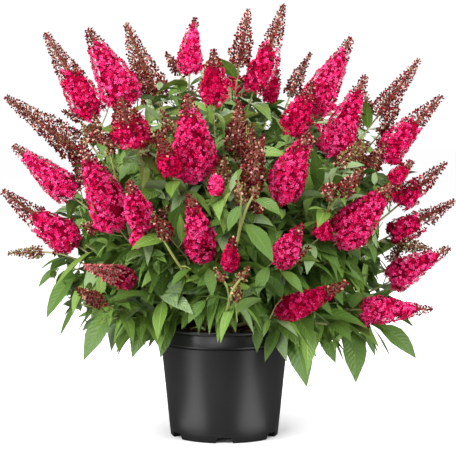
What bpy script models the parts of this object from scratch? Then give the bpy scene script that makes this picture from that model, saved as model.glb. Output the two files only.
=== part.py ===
"""Potted butterfly bush: a nursery pot, its bark mix, a short woody foot, canes and masses of shoots."""

import math
import random
from collections import namedtuple

import bmesh
import bpy
from mathutils import Vector
from mathutils.bvhtree import BVHTree

# Metres, +Z up. The origin is the middle of the pot's underside, and -Y is the plant's front.
GAP = 0.0003                    # clearance between neighbouring pieces
SHORTEST_EDGE = 0.00005         # edges shorter than this are closed up in a joined mass
SEED = 11
GROWTHS = 12                    # how often a mass may be grown before its mesh is whole

# Pot
POT_HEIGHT = 0.235
RIM_RADIUS = 0.138
BAND_DEPTH = 0.036              # plain band under the lip
BAND_STEP = 0.0022              # how far the band stands out from the body
BAND_SLOPE = 0.0012             # height of the slanted ledge under the band
BODY_TOP_RADIUS = 0.1350
FOOT_RADIUS = 0.1150
FOOT_ROUNDING = 0.0030
FOOT_FLAT = 0.0040              # width of the ring that the pot stands on
LIP_DEPTH = 0.0040
LIP_ROUNDING = 0.0012
LIP_STEP = 0.0006               # how far the lip stands out from the band
WALL = 0.0022
FLOOR_BOTTOM = 0.0130
FLOOR_THICKNESS = 0.0025
POT_SEGMENTS = 36
SHARP_EDGE = math.radians(35)

# Drain notches: each cutter opens two, opposite each other
NOTCH_PAIRS = 3
NOTCH_FOOT_WIDTH = 0.038
NOTCH_TOP_WIDTH = 0.030
NOTCH_HEIGHT = 0.0108
NOTCH_BELOW = 0.0020            # how far a cutter reaches below the pot

# Bark mix
SOIL_BELOW_RIM = 0.013
SOIL_DISH = 0.004               # the mix lies this much lower at the wall than round the foot
SOIL_LEVEL = 0.057              # radius of its level middle

# Woody foot
FLARE_RADIUS = 0.027
FLARE_HEIGHT = 0.009            # height over which most of the flare dies away
STEM_RADIUS = 0.0185
STEM_TOP_RADIUS = 0.0150
STEM_HEIGHT = 0.070
STEM_ROUNDING = 0.0025
STEM_RINGS = (0.0, 0.004, 0.011, 0.024, 0.045)
STEM_SIDES = 16

# Canes: one for each mass, on tiers round the woody foot, and on its top
CANE_RADIUS = 0.0040
CANE_TIP_RADIUS = 0.0033
CANE_REACH = 0.135              # distance from the heart to where a cane enters its mass
CANE_LEAD = 0.028               # how strongly a cane sets out square to the foot
CANE_SIDES = 5
CANE_STEPS = 3
TIER_HEIGHTS = (0.015, 0.029, 0.043, 0.057)
TOP_TIER = len(TIER_HEIGHTS)
TOP_RING_RADIUS = 0.0100

# Twigs
MAIN_TIP_RADIUS = 0.0019
TWIG_RADIUS = 0.0026
TWIG_TIP_RADIUS = 0.0013
TWIG_SIDES = 3
TWIG_STEPS = 3
FIRST_FORK = 0.06               # shares of the main twig where the others leave it
FORK_STEP = 0.05
FORK_PLAY = 0.02
MAIN_BARE = 0.15                # shares of a twig below its first leaves
TWIG_BARE = 0.25
LAST_LEAF = 0.97

# Flower heads
HEAD_SIDES = 5
HEAD_OUTLINE = ((0.0, 0.55), (0.28, 1.0), (0.66, 0.72), (1.0, 0.14))
HEAD_ROUGHNESS = (0.86, 1.08)
TWIG_IN_HEAD = 0.30             # share of a flower head's length that its twig runs up inside it

# Room between masses
SPACE_MARGIN = 0.0006           # how far a mass keeps from the planes between it and its neighbours
LIMB_MARGIN = 0.003
HEAD_BASE_ROOM = 0.56           # room that a head needs at its base and its tip, as shares of its girth
HEAD_TIP_ROOM = 0.10

# Leaves
LEAF_LENGTH = 0.134
LEAF_WIDTH = 0.047
LEAF_THICKNESS = 0.0021
LEAF_FOLD = 0.12                # how far its edges rise above the midrib, as a share of its width
LEAF_BEND = 0.42                # where along the leaf it is widest and bends
LEAF_STALK = 0.020              # neighbours may cross a leaf this close to the shoot
LEAF_SPACING = 0.060            # between pairs along a flowering shoot
LEAFY_SPACING = 0.050           # and along a leafy one
LEAF_SPREAD = 58.0              # degrees from the shoot's line
SPREAD_CHANCE = 12.0
LEAF_SIZES = (0.86, 1.08)
LOW_DROOP = 1.5                 # how far a leaf on a level shoot bends down, as a slope
HIGH_DROOP = 0.35               # and one on a steep shoot
STEEP_RISE = 55.0
LEAF_FACES = ((0, 2, 4), (2, 1, 4), (1, 3, 4), (3, 0, 4), (2, 0, 5), (1, 2, 5), (3, 1, 5), (0, 3, 5))
# Each try for a leaf: its length and its spread as shares, and its turn round the shoot in radians
LEAF_TRIES = ((1.0, 1.0, 0.0), (0.95, 0.8, 0.5), (0.95, 1.0, -0.6), (0.9, 0.6, 1.0), (0.85, 1.1, -1.1),
              (0.8, 0.5, 1.6), (0.75, 0.7, -1.7), (0.7, 0.45, 2.4))

SOIL_TOP = POT_HEIGHT - SOIL_BELOW_RIM
FLOOR_TOP = FLOOR_BOTTOM + FLOOR_THICKNESS
HEART = Vector((0.0, 0.0, POT_HEIGHT))     # the point that every cane and shoot aims away from

Shoot = namedtuple("Shoot", "bearing rise reach length girth lean swing")
Twig = namedtuple("Twig", "shoot curve first limb heads")

# Each mass has a tier on the woody foot and its shoots. A shoot is bearing and rise in degrees, reach
# from the heart, flower head's length and girth, and the head's own lean and swing in degrees. A head
# of no length is a leafy shoot.
SIDE_MASSES = {
    "left_low": (1, [
        (174, 18, 0.500, 0.080, 0.028, -20, 0),
        (-178, 6, 0.330, 0.0, 0.0, 0, 0),
        (-161, 14, 0.380, 0.0, 0.0, 0, 0),
    ]),
    "left_mid": (2, [
        (-175, 32, 0.560, 0.190, 0.072, 5, 0),
        (-158, 31, 0.480, 0.0, 0.0, 0, 0),
    ]),
    "left_high": (3, [
        (-177, 41, 0.600, 0.165, 0.070, 0, 0),
        (174, 46, 0.690, 0.215, 0.068, -10, 0),
    ]),
    "left_top": (4, [
        (170, 58, 0.748, 0.210, 0.075, 0, 0),
        (-155, 64, 0.710, 0.175, 0.090, -5, 5),
        (149, 69, 0.703, 0.195, 0.076, -5, 0),
    ]),
    "top": (4, [
        (-139, 83, 0.668, 0.115, 0.056, 15, 0),
        (61, 81, 0.694, 0.130, 0.053, -10, 0),
        (-32, 78, 0.706, 0.195, 0.064, -10, 0),
    ]),
    "right_top": (4, [
        (40, 67, 0.642, 0.110, 0.034, -10, 0),
        (11, 53, 0.722, 0.160, 0.054, 0, 0),
    ]),
    "right_high": (3, [
        (-10, 47, 0.682, 0.180, 0.064, 0, 10),
        (-27, 47, 0.551, 0.080, 0.041, 5, 0),
    ]),
    "right_mid": (2, [
        (-11, 37, 0.595, 0.130, 0.052, 5, 0),
        (-2, 29, 0.566, 0.155, 0.058, 0, 0),
    ]),
    "right_low": (0, [
        (-8, 20, 0.515, 0.145, 0.068, 10, 0),
        (-19, 7, 0.462, 0.145, 0.063, -5, 5),
        (-4, 2, 0.330, 0.0, 0.0, 0, 0),
        (9, 6, 0.370, 0.0, 0.0, 0, 0),
    ]),
    "right_crest": (4, [
        (-54, 60, 0.613, 0.125, 0.061, -5, 0),
        (-35, 57, 0.645, 0.180, 0.074, 5, -5),
        (-24, 65, 0.684, 0.175, 0.076, -5, 0),
    ]),
}
FRONT_MASSES = {
    "crest": (4, [
        (-94, 63, 0.665, 0.125, 0.060, -10, 5),
        (-85, 56, 0.589, 0.130, 0.049, -10, 0),
    ]),
    "upper_left": (3, [
        (-113, 47, 0.672, 0.100, 0.066, 5, 5),
        (-99, 48, 0.676, 0.200, 0.096, 0, 5),
        (-105, 42, 0.639, 0.105, 0.046, 0, 0),
    ]),
    "left": (2, [
        (-125, 40, 0.631, 0.200, 0.086, 12, 5),
        (-112, 35, 0.591, 0.135, 0.061, 5, 10),
    ]),
    "upper_right": (3, [
        (-70, 42, 0.643, 0.180, 0.077, 0, 0),
        (-81, 42, 0.641, 0.185, 0.046, -5, 0),
        (-72, 28, 0.546, 0.125, 0.054, 10, 5),
    ]),
    "right": (2, [
        (-47, 34, 0.588, 0.180, 0.087, 5, 0),
        (-56, 37, 0.600, 0.080, 0.034, 0, 0),
        (-30, 28, 0.480, 0.0, 0.0, 0, 0),
    ]),
    "middle": (1, [
        (-98, 33, 0.579, 0.205, 0.061, 5, 0),
        (-88, 26, 0.531, 0.150, 0.034, 0, 0),
        (-106, 29, 0.559, 0.095, 0.031, -5, 0),
        (-92, 20, 0.390, 0.0, 0.0, 0, 0),
    ]),
    "lower_left": (0, [
        (-126, 20, 0.495, 0.165, 0.047, -5, 5),
        (-130, 15, 0.470, 0.085, 0.039, 10, 5),
        (-113, 17, 0.370, 0.0, 0.0, 0, 0),
        (-145, 6, 0.360, 0.0, 0.0, 0, 0),
    ]),
    "lower_right": (0, [
        (-58, 17, 0.475, 0.200, 0.055, 5, 10),
        (-70, 16, 0.370, 0.0, 0.0, 0, 0),
        (-41, 5, 0.360, 0.0, 0.0, 0, 0),
    ]),
}
BACK_TURN = 5.0                 # degrees by which a back shoot may differ from the front one it follows
BACK_CLIMB = 2.0
BACK_REACH = 0.97
BACK_SIZES = (0.85, 1.05)

BARK = (0.24, 0.17, 0.11)
CANE_GREEN = (0.30, 0.30, 0.14)
LEAF_GREEN = (0.10, 0.24, 0.06)
TINTS = (0.85, 1.15)
PLASTIC = (0.025, 0.026, 0.028)
BARK_MIX = (0.16, 0.075, 0.045)


def clear_scene():
    for thing in list(bpy.data.objects):
        bpy.data.objects.remove(thing, do_unlink=True)


def material(name, color, roughness):
    made = bpy.data.materials.new(name)
    made.use_nodes = True
    surface = made.node_tree.nodes["Principled BSDF"]
    surface.inputs["Base Color"].default_value = (*color, 1.0)
    surface.inputs["Roughness"].default_value = roughness
    surface.inputs["Metallic"].default_value = 0.0
    made.diffuse_color = (*color, 1.0)
    return made


def linked(name, mesh):
    made = bpy.data.objects.new(name, mesh)
    bpy.context.scene.collection.objects.link(made)
    return made


def mesh_object(name, vertices, faces, finish=None):
    """A closed mesh, whose faces already look outward, as an object of its own."""
    mesh = bpy.data.meshes.new(name)
    mesh.from_pydata([tuple(v) for v in vertices], [], faces)
    if finish is not None:
        mesh.materials.append(finish)
    return linked(name, mesh)


def turned(name, profile, segments, finish):
    """Spin a (radius, height) outline round +Z, closing it where it doesn't end on the axis."""
    shape = bmesh.new()
    corners = [shape.verts.new((radius, 0.0, height)) for radius, height in profile]
    edges = [shape.edges.new(pair) for pair in zip(corners, corners[1:])]
    bmesh.ops.spin(shape, geom=corners + edges, cent=(0, 0, 0), axis=(0, 0, 1),
                   angle=math.tau, steps=segments, use_merge=True)
    bmesh.ops.remove_doubles(shape, verts=shape.verts, dist=0.00001)
    bmesh.ops.recalc_face_normals(shape, faces=shape.faces)
    mesh = bpy.data.meshes.new(name)
    shape.to_mesh(mesh)
    shape.free()
    mesh.materials.append(finish)
    mesh.shade_smooth()
    mesh.set_sharp_from_angle(angle=SHARP_EDGE)
    return linked(name, mesh)


def apply_modifiers(thing):
    """Replace an object's mesh by the one its modifiers make."""
    bpy.context.view_layer.update()
    graph = bpy.context.evaluated_depsgraph_get()
    result = bpy.data.meshes.new_from_object(thing.evaluated_get(graph), depsgraph=graph)
    thing.modifiers.clear()
    thing.data = result


# Pot, bark mix and woody foot

def body_radius(height):
    """Outer radius of the pot's tapered body."""
    share = height / (POT_HEIGHT - BAND_DEPTH)
    return FOOT_RADIUS + (BODY_TOP_RADIUS - FOOT_RADIUS) * share


def pot_profile():
    """The pot's section, from the middle of its floor over the rim to the middle of its underside."""
    band_foot = POT_HEIGHT - BAND_DEPTH
    foot_edge = FOOT_RADIUS - FOOT_ROUNDING / 2
    return [
        (0.0, FLOOR_TOP),
        (body_radius(FLOOR_TOP) - WALL, FLOOR_TOP),
        (BODY_TOP_RADIUS - WALL, band_foot),
        (RIM_RADIUS - LIP_ROUNDING - WALL, POT_HEIGHT),
        (RIM_RADIUS - LIP_ROUNDING, POT_HEIGHT),
        (RIM_RADIUS, POT_HEIGHT - LIP_ROUNDING),
        (RIM_RADIUS - LIP_STEP, POT_HEIGHT - LIP_DEPTH),
        (BODY_TOP_RADIUS + BAND_STEP, band_foot + BAND_SLOPE),
        (BODY_TOP_RADIUS, band_foot),
        (body_radius(FOOT_ROUNDING), FOOT_ROUNDING),
        (foot_edge, 0.0),
        (foot_edge - FOOT_FLAT, 0.0),
        (body_radius(FLOOR_BOTTOM) - FOOT_FLAT, FLOOR_BOTTOM),
        (0.0, FLOOR_BOTTOM),
    ]


def notch_cutter(turn):
    """A long bar with slanted sides, laid across the pot's foot."""
    foot = NOTCH_FOOT_WIDTH / 2
    top = NOTCH_TOP_WIDTH / 2
    section = ((-foot, -NOTCH_BELOW), (foot, -NOTCH_BELOW), (top, NOTCH_HEIGHT), (-top, NOTCH_HEIGHT))
    ring = [(x, end, z) for end in (-RIM_RADIUS, RIM_RADIUS) for x, z in section]
    faces = [(0, 1, 2, 3), (7, 6, 5, 4)] + [(i, i + 4, (i + 1) % 4 + 4, (i + 1) % 4) for i in range(4)]
    cutter = mesh_object("notch_cutter", ring, faces)
    cutter.rotation_euler = (0.0, 0.0, turn)
    cutter.hide_render = True
    cutter.display_type = "WIRE"
    return cutter


def make_pot():
    pot = turned("pot", pot_profile(), POT_SEGMENTS, material("charcoal_plastic", PLASTIC, 0.42))
    cutters = [notch_cutter(math.pi * k / NOTCH_PAIRS) for k in range(NOTCH_PAIRS)]
    for cutter in cutters:
        cut = pot.modifiers.new("notch", "BOOLEAN")
        cut.operation = "DIFFERENCE"
        cut.solver = "EXACT"
        cut.object = cutter
    apply_modifiers(pot)
    for cutter in cutters:
        bpy.data.objects.remove(cutter, do_unlink=True)
    return pot


def make_soil():
    """The bark mix fills the pot to a little under its rim, level where the woody foot stands."""
    inset = WALL + 2 * GAP
    wall_top = BODY_TOP_RADIUS - inset
    profile = [
        (0.0, FLOOR_TOP + GAP),
        (body_radius(FLOOR_TOP) - inset, FLOOR_TOP + GAP),
        (wall_top, POT_HEIGHT - BAND_DEPTH),
        (wall_top, SOIL_TOP - SOIL_DISH),
        (SOIL_LEVEL, SOIL_TOP),
        (0.0, SOIL_TOP),
    ]
    return turned("bark_mix", profile, POT_SEGMENTS, material("bark_mix", BARK_MIX, 0.95))


def stem_radius(height):
    """Radius of the woody foot: flared at the cut, and nearly straight above."""
    flare = (FLARE_RADIUS - STEM_RADIUS) * math.exp(-height / FLARE_HEIGHT)
    return flare + STEM_RADIUS + (STEM_TOP_RADIUS - STEM_RADIUS) * height / STEM_HEIGHT


def make_stem_base():
    profile = [(0.0, 0.0)] + [(stem_radius(height), height) for height in STEM_RINGS]
    profile += [(STEM_TOP_RADIUS, STEM_HEIGHT - STEM_ROUNDING)]
    profile += [(STEM_TOP_RADIUS - STEM_ROUNDING, STEM_HEIGHT), (0.0, STEM_HEIGHT)]
    stem = turned("stem_base", profile, STEM_SIDES, material("bark", BARK, 0.9))
    stem.location = (0.0, 0.0, SOIL_TOP + GAP)
    return stem


# Curves, limbs, flower heads and leaves

def direction(bearing, rise):
    """Unit vector from a bearing round +Z and a rise above the horizontal, both in degrees."""
    turn = math.radians(bearing)
    climb = math.radians(rise)
    return Vector((math.cos(turn) * math.cos(climb), math.sin(turn) * math.cos(climb), math.sin(climb)))


def bezier(points, share):
    a, b, c, d = points
    rest = 1.0 - share
    return a * rest ** 3 + b * 3 * rest ** 2 * share + c * 3 * rest * share ** 2 + d * share ** 3


def tangent(points, share):
    a, b, c, d = points
    rest = 1.0 - share
    slope = (b - a) * rest ** 2 + (c - b) * 2 * rest * share + (d - c) * share ** 2
    return slope.normalized()


def on_limb(points, steps, share):
    """A point on the straight runs that join a limb's rings."""
    step = min(int(share * steps), steps - 1)
    return bezier(points, step / steps).lerp(bezier(points, (step + 1) / steps), share * steps - step)


def guide_of(points):
    """The world axis that lies furthest from a curve's run, so that its rings don't twist."""
    run = points[-1] - points[0]
    return min((Vector((1, 0, 0)), Vector((0, 1, 0)), Vector((0, 0, 1))), key=lambda way: abs(run.dot(way)))


def across(axis, guide):
    """Two unit vectors square to an axis and to each other."""
    side = axis.cross(guide).normalized()
    return side, axis.cross(side)


def skin(rings, sides):
    """Faces over a row of rings, with a flat cap at each end."""
    faces = [tuple(range(sides))[::-1], tuple(range((rings - 1) * sides, rings * sides))]
    for ring in range(rings - 1):
        for k in range(sides):
            a = ring * sides + k
            b = ring * sides + (k + 1) % sides
            faces.append((a, b, b + sides, a + sides))
    return faces


def limb_shape(points, sides, steps, radius, tip_radius):
    """A tapering limb along a cubic curve, with flat ends square to it."""
    guide = guide_of(points)
    vertices = []
    for step in range(steps + 1):
        share = step / steps
        middle = bezier(points, share)
        side, other = across(tangent(points, share), guide)
        size = radius + (tip_radius - radius) * share
        for k in range(sides):
            angle = math.tau * k / sides
            vertices.append(middle + (side * math.cos(angle) + other * math.sin(angle)) * size)
    return vertices, skin(steps + 1, sides)


def head_shape(base, tip, girth, chance):
    """A flower head: a lumpy cone, widest in its lower third."""
    side, other = across((tip - base).normalized(), guide_of((base, tip)))
    vertices = []
    for share, width in HEAD_OUTLINE:
        middle = base.lerp(tip, share)
        for k in range(HEAD_SIDES):
            angle = math.tau * (k + share * 2) / HEAD_SIDES
            size = girth / 2 * width * chance.uniform(*HEAD_ROUGHNESS)
            vertices.append(middle + (side * math.cos(angle) + other * math.sin(angle)) * size)
    return vertices, skin(len(HEAD_OUTLINE), HEAD_SIDES)


def leaf_shape(root, axis, length, width, droop):
    """A pointed blade of eight faces that leaves along an axis and bends down under its weight."""
    side = axis.cross(Vector((0, 0, 1)))
    side = side.normalized() if side.length > 0.05 else Vector((1, 0, 0))
    fall = Vector((0, 0, -1)) * droop * math.hypot(axis.x, axis.y)
    middle = root + (axis + fall * 0.2).normalized() * length * LEAF_BEND
    tip = middle + (axis + fall).normalized() * length * (1 - LEAF_BEND)
    up = side.cross(tip - root).normalized()
    lift = up * LEAF_THICKNESS / 2
    fold = up * width * LEAF_FOLD
    edge = side * width / 2
    return [root, tip, middle + edge + fold, middle - edge + fold, middle + lift, middle - lift], LEAF_FACES


# The room that each mass keeps to

def back_masses(chance):
    """The back of the bush: the front's masses turned half round, each shoot a little different."""
    masses = {}
    for name, (tier, shoots) in FRONT_MASSES.items():
        changed = []
        for shoot in shoots:
            turn = chance.uniform(-BACK_TURN, BACK_TURN)
            climb = chance.uniform(-BACK_CLIMB, BACK_CLIMB)
            size = chance.uniform(*BACK_SIZES)
            changed.append(Shoot(shoot.bearing + 180 + turn, shoot.rise + climb, shoot.reach * BACK_REACH,
                                 shoot.length * size, shoot.girth * size, shoot.lean, shoot.swing))
        masses["back_" + name] = (tier, changed)
    return masses


def all_masses():
    for group in (SIDE_MASSES, FRONT_MASSES):
        for name, (tier, shoots) in group.items():
            group[name] = (tier, [Shoot(*shoot) for shoot in shoots])
    masses = dict(SIDE_MASSES)
    masses.update({"front_" + name: mass for name, mass in FRONT_MASSES.items()})
    masses.update(back_masses(random.Random(SEED)))
    return masses


def aim_of(shoots):
    """The middle direction of a mass."""
    total = Vector((0, 0, 0))
    for shoot in shoots:
        total += direction(shoot.bearing, shoot.rise)
    return total.normalized()


def planes_round(name, aims):
    """The planes through the heart that part a mass from each of its neighbours, facing into it."""
    return [(aims[name] - other).normalized() for label, other in aims.items() if label != name]


def in_space(vertices, planes):
    offsets = [vertex - HEART for vertex in vertices]
    return all(offset.dot(plane) >= SPACE_MARGIN for offset in offsets for plane in planes)


def clear_of_pot(vertices):
    for vertex in vertices:
        low = vertex.z < POT_HEIGHT + LIMB_MARGIN
        near = math.hypot(vertex.x, vertex.y) < RIM_RADIUS + LIMB_MARGIN
        if low and near:
            return False
    return True


def clear_of(vertices, faces, trees):
    shape = BVHTree.FromPolygons(vertices, faces)
    return not any(tree.overlap(shape) for tree in trees)


def tree_of(thing):
    place = thing.matrix_basis
    vertices = [place @ v.co for v in thing.data.vertices]
    return BVHTree.FromPolygons(vertices, [tuple(p.vertices) for p in thing.data.polygons])


# Canes and masses

def cane_curve(tier, aim):
    """From the side of the woody foot, or from its top, out to where the mass begins."""
    tip = HEART + aim * CANE_REACH
    level = Vector((aim.x, aim.y, 0.0))
    level = level.normalized() if level.length > 0.2 else Vector((0, 0, 0))
    ground = Vector((0, 0, SOIL_TOP + GAP))
    if tier < TOP_TIER:
        height = TIER_HEIGHTS[tier]
        root = ground + level * (stem_radius(height - CANE_RADIUS) + 2 * GAP) + Vector((0, 0, height))
        out = level
    else:
        root = ground + level * TOP_RING_RADIUS + Vector((0, 0, STEM_HEIGHT + GAP))
        out = Vector((0, 0, 1))
    return root, root + out * CANE_LEAD, tip - aim * CANE_REACH / 3, tip


def make_cane(name, tier, aim, finish):
    vertices, faces = limb_shape(cane_curve(tier, aim), CANE_SIDES, CANE_STEPS, CANE_RADIUS, CANE_TIP_RADIUS)
    cane = mesh_object("cane_" + name, vertices, faces, finish)
    cane.data.shade_smooth()
    cane.data.set_sharp_from_angle(angle=SHARP_EDGE * 2)
    return cane


def fitted_head(shoot, planes):
    """A head's base and tip, moved toward the middle of its space until the whole of it fits."""
    tip = HEART + direction(shoot.bearing, shoot.rise) * shoot.reach
    base = tip - direction(shoot.bearing + shoot.swing, shoot.rise + shoot.lean) * shoot.length
    for _ in range(40):
        push = Vector((0, 0, 0))
        for plane in planes:
            for point, room in ((base, shoot.girth * HEAD_BASE_ROOM), (tip, shoot.girth * HEAD_TIP_ROOM)):
                lack = room + SPACE_MARGIN - (point - HEART).dot(plane)
                if lack > push.length:
                    push = plane * lack
        if push.length == 0.0:
            break
        base = base + push
        tip = tip + push
    return base, tip


def make_twigs(shoots, aim, planes, chance):
    """The mass's stem, which runs on as its longest shoot, and the twigs that fork from it."""
    root = HEART + aim * (CANE_REACH + GAP)
    twigs = []
    for number, shoot in enumerate(sorted(shoots, key=lambda shoot: -shoot.reach)):
        base, tip = fitted_head(shoot, planes)
        along = (tip - base).normalized() if shoot.length > 0 else direction(shoot.bearing, shoot.rise)
        span = (base - root).length
        end = base.lerp(tip, TWIG_IN_HEAD)
        if number == 0:
            main = (root, root + aim * span * 0.35, end - along * span * 0.4, end)
            curve = main
            sizes = (CANE_TIP_RADIUS, MAIN_TIP_RADIUS)
            first = MAIN_BARE
        else:
            share = FIRST_FORK + FORK_STEP * number + chance.uniform(0.0, FORK_PLAY)
            fork = on_limb(main, TWIG_STEPS, share)
            curve = (fork, fork + tangent(main, 0.1) * span * 0.2, end - along * span * 0.4, end)
            sizes = (TWIG_RADIUS, TWIG_TIP_RADIUS)
            first = TWIG_BARE
        heads = [head_shape(base, tip, shoot.girth, chance)] if shoot.length > 0 else []
        twigs.append(Twig(shoot, curve, first, limb_shape(curve, TWIG_SIDES, TWIG_STEPS, *sizes), heads))
    return twigs


def leaf_places(twig, chance):
    """Where leaves leave a twig: pairs, each pair turned a quarter from the last."""
    curve = twig.curve
    last = LAST_LEAF - TWIG_IN_HEAD * twig.shoot.length / (curve[3] - curve[0]).length
    length = sum((bezier(curve, (i + 1) / 8) - bezier(curve, i / 8)).length for i in range(8))
    spacing = LEAF_SPACING if twig.shoot.length > 0 else LEAFY_SPACING
    pairs = max(1, round(length * (last - twig.first) / spacing))
    start = chance.uniform(0, math.pi)
    for pair in range(pairs):
        share = twig.first + (last - twig.first) * (pair + 0.5) / pairs
        root = on_limb(curve, TWIG_STEPS, share)
        for half in (0.0, math.pi):
            spread = math.radians(LEAF_SPREAD + chance.uniform(-SPREAD_CHANCE, SPREAD_CHANCE))
            yield root, tangent(curve, share), start + half + pair * math.pi / 2, spread


def grow_leaves(twig, planes, trees, neighbours, chance):
    """Leaves of one twig, and their blades. A leaf that would leave the space, or touch a limb or a
    neighbour, is tried again shorter and turned, then skipped."""
    steepness = min(1.0, twig.shoot.rise / STEEP_RISE)
    droop = LOW_DROOP + (HIGH_DROOP - LOW_DROOP) * steepness
    leaves = []
    blades = []
    for root, axis, turn, spread in leaf_places(twig, chance):
        side, other = across(axis, guide_of(twig.curve))
        size = chance.uniform(*LEAF_SIZES)
        for shrink, close, shift in LEAF_TRIES:
            out = side * math.cos(turn + shift) + other * math.sin(turn + shift)
            line = axis * math.cos(spread * close) + out * math.sin(spread * close)
            vertices, faces = leaf_shape(root, line, LEAF_LENGTH * size * shrink, LEAF_WIDTH * size, droop)
            fits = in_space(vertices, planes) and clear_of_pot(vertices)
            if fits and clear_of(vertices, faces, trees + neighbours + blades):
                leaves.append((vertices, faces))
                blades.append(BVHTree.FromPolygons([root + line * LEAF_STALK] + vertices[1:], faces))
                break
    return leaves, blades


def mass_shapes(shoots, aim, planes, trees, chance):
    """All the closed shapes of one mass: its stem first, then twigs, heads and leaves."""
    twigs = make_twigs(shoots, aim, planes, chance)
    shapes = [twig.limb for twig in twigs]
    heads = [head for twig in twigs for head in twig.heads]
    head_trees = [BVHTree.FromPolygons(*head) for head in heads]
    limb_trees = [BVHTree.FromPolygons(*twig.limb) for twig in twigs]
    grown = []
    for number, twig in enumerate(twigs):
        others = limb_trees[:number] + limb_trees[number + 1:]
        leaves, blades = grow_leaves(twig, planes, trees, head_trees + others + grown, chance)
        shapes += leaves
        grown += blades
    return shapes + heads


def bodies_of(shape):
    """The faces of each separate body in a mesh."""
    waiting = set(shape.faces)
    bodies = []
    while waiting:
        edge_of_search = [waiting.pop()]
        body = []
        while edge_of_search:
            face = edge_of_search.pop()
            body.append(face)
            near = {other for edge in face.edges for other in edge.link_faces} & waiting
            waiting -= near
            edge_of_search += near
        bodies.append(body)
    return bodies


def volume_of(faces):
    total = 0.0
    for face in faces:
        a, b, c = [vertex.co for vertex in face.verts]
        total += a.dot(b.cross(c)) / 6.0
    return total


def is_whole(shape):
    """True where every edge joins two faces, none is too short, and no face crosses another."""
    if not all(len(edge.link_faces) == 2 for edge in shape.edges):
        return False
    if min(edge.calc_length() for edge in shape.edges) < SHORTEST_EDGE / 4:
        return False
    shape.faces.ensure_lookup_table()
    tree = BVHTree.FromBMesh(shape)
    corners = [set(face.verts) for face in shape.faces]
    return all(corners[a] & corners[b] for a, b in tree.overlap(tree))


def keep_main_body(mesh):
    """Fill sealed hollows, drop loose scraps, and close up slivers. True where the body left is whole."""
    shape = bmesh.new()
    shape.from_mesh(mesh)
    bmesh.ops.triangulate(shape, faces=shape.faces)
    bodies = sorted(bodies_of(shape), key=volume_of)
    spare = [face for body in bodies[:-1] for face in body]
    bmesh.ops.delete(shape, geom=spare, context="FACES")
    bmesh.ops.dissolve_degenerate(shape, dist=SHORTEST_EDGE, edges=shape.edges)
    bmesh.ops.triangulate(shape, faces=shape.faces)
    whole = is_whole(shape)
    shape.to_mesh(mesh)
    shape.free()
    return whole


def join_mass(name, shapes, finish):
    """Join a mass's shapes by one Boolean union on a collection, and say whether its mesh is whole."""
    bucket = bpy.data.collections.new("shapes_of_" + name)
    bpy.context.scene.collection.children.link(bucket)
    mass = mesh_object("mass_" + name, *shapes[0], finish)
    for vertices, faces in shapes[1:]:
        piece = mesh_object("piece", vertices, faces)
        bpy.context.scene.collection.objects.unlink(piece)
        bucket.objects.link(piece)
    join = mass.modifiers.new("join", "BOOLEAN")
    join.operation = "UNION"
    join.operand_type = "COLLECTION"
    join.solver = "MANIFOLD"
    join.collection = bucket
    apply_modifiers(mass)
    for piece in list(bucket.objects):
        bpy.data.objects.remove(piece, do_unlink=True)
    bpy.data.collections.remove(bucket)
    return mass, keep_main_body(mass.data)


def make_mass(name, number, shoots, aims, trees):
    """Grow a mass from its own seed, and from another where its joined mesh isn't whole."""
    tint = random.Random(number).uniform(*TINTS)
    finish = material("foliage_" + name, [channel * tint for channel in LEAF_GREEN], 0.7)
    for growth in range(GROWTHS):
        chance = random.Random(SEED + number * GROWTHS + growth)
        shapes = mass_shapes(shoots, aims[name], planes_round(name, aims), trees, chance)
        mass, whole = join_mass(name, shapes, finish)
        if whole:
            print(f"{mass.name}: growth {growth + 1}, {len(mass.data.polygons)} triangles")
            return
        bpy.data.objects.remove(mass, do_unlink=True)
    print(f"{name}: no growth joined whole")


def main():
    clear_scene()
    masses = all_masses()
    aims = {name: aim_of(shoots) for name, (tier, shoots) in masses.items()}
    solids = [make_pot(), make_soil(), make_stem_base()]
    bark = material("green_cane", CANE_GREEN, 0.75)
    solids += [make_cane(name, tier, aims[name], bark) for name, (tier, shoots) in masses.items()]
    trees = [tree_of(thing) for thing in solids]
    for number, (name, (tier, shoots)) in enumerate(masses.items()):
        make_mass(name, number, shoots, aims, trees)


main()
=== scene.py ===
import math
import random

import bmesh
import bpy
import numpy as np
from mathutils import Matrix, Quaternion, Vector
from mathutils.kdtree import KDTree


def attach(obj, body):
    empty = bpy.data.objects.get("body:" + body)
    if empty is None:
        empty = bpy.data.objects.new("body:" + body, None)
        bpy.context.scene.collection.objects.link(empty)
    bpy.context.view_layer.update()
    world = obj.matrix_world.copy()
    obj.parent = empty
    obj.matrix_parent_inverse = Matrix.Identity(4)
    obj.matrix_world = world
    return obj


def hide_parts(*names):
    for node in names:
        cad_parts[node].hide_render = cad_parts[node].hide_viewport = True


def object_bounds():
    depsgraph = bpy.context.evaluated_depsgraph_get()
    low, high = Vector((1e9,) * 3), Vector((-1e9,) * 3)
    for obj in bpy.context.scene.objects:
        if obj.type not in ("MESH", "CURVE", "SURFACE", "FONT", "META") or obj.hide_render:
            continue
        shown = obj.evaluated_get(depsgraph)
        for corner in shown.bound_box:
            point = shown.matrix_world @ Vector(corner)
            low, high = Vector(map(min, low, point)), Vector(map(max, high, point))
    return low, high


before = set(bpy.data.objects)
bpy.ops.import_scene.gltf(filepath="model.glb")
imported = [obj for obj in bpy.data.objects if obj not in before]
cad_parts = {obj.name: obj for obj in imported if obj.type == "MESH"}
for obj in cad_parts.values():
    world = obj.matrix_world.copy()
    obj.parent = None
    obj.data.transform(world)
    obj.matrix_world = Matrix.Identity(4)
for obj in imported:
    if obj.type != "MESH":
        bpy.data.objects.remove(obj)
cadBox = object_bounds()
scene = bpy.context.scene
chance = random.Random(5)
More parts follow.
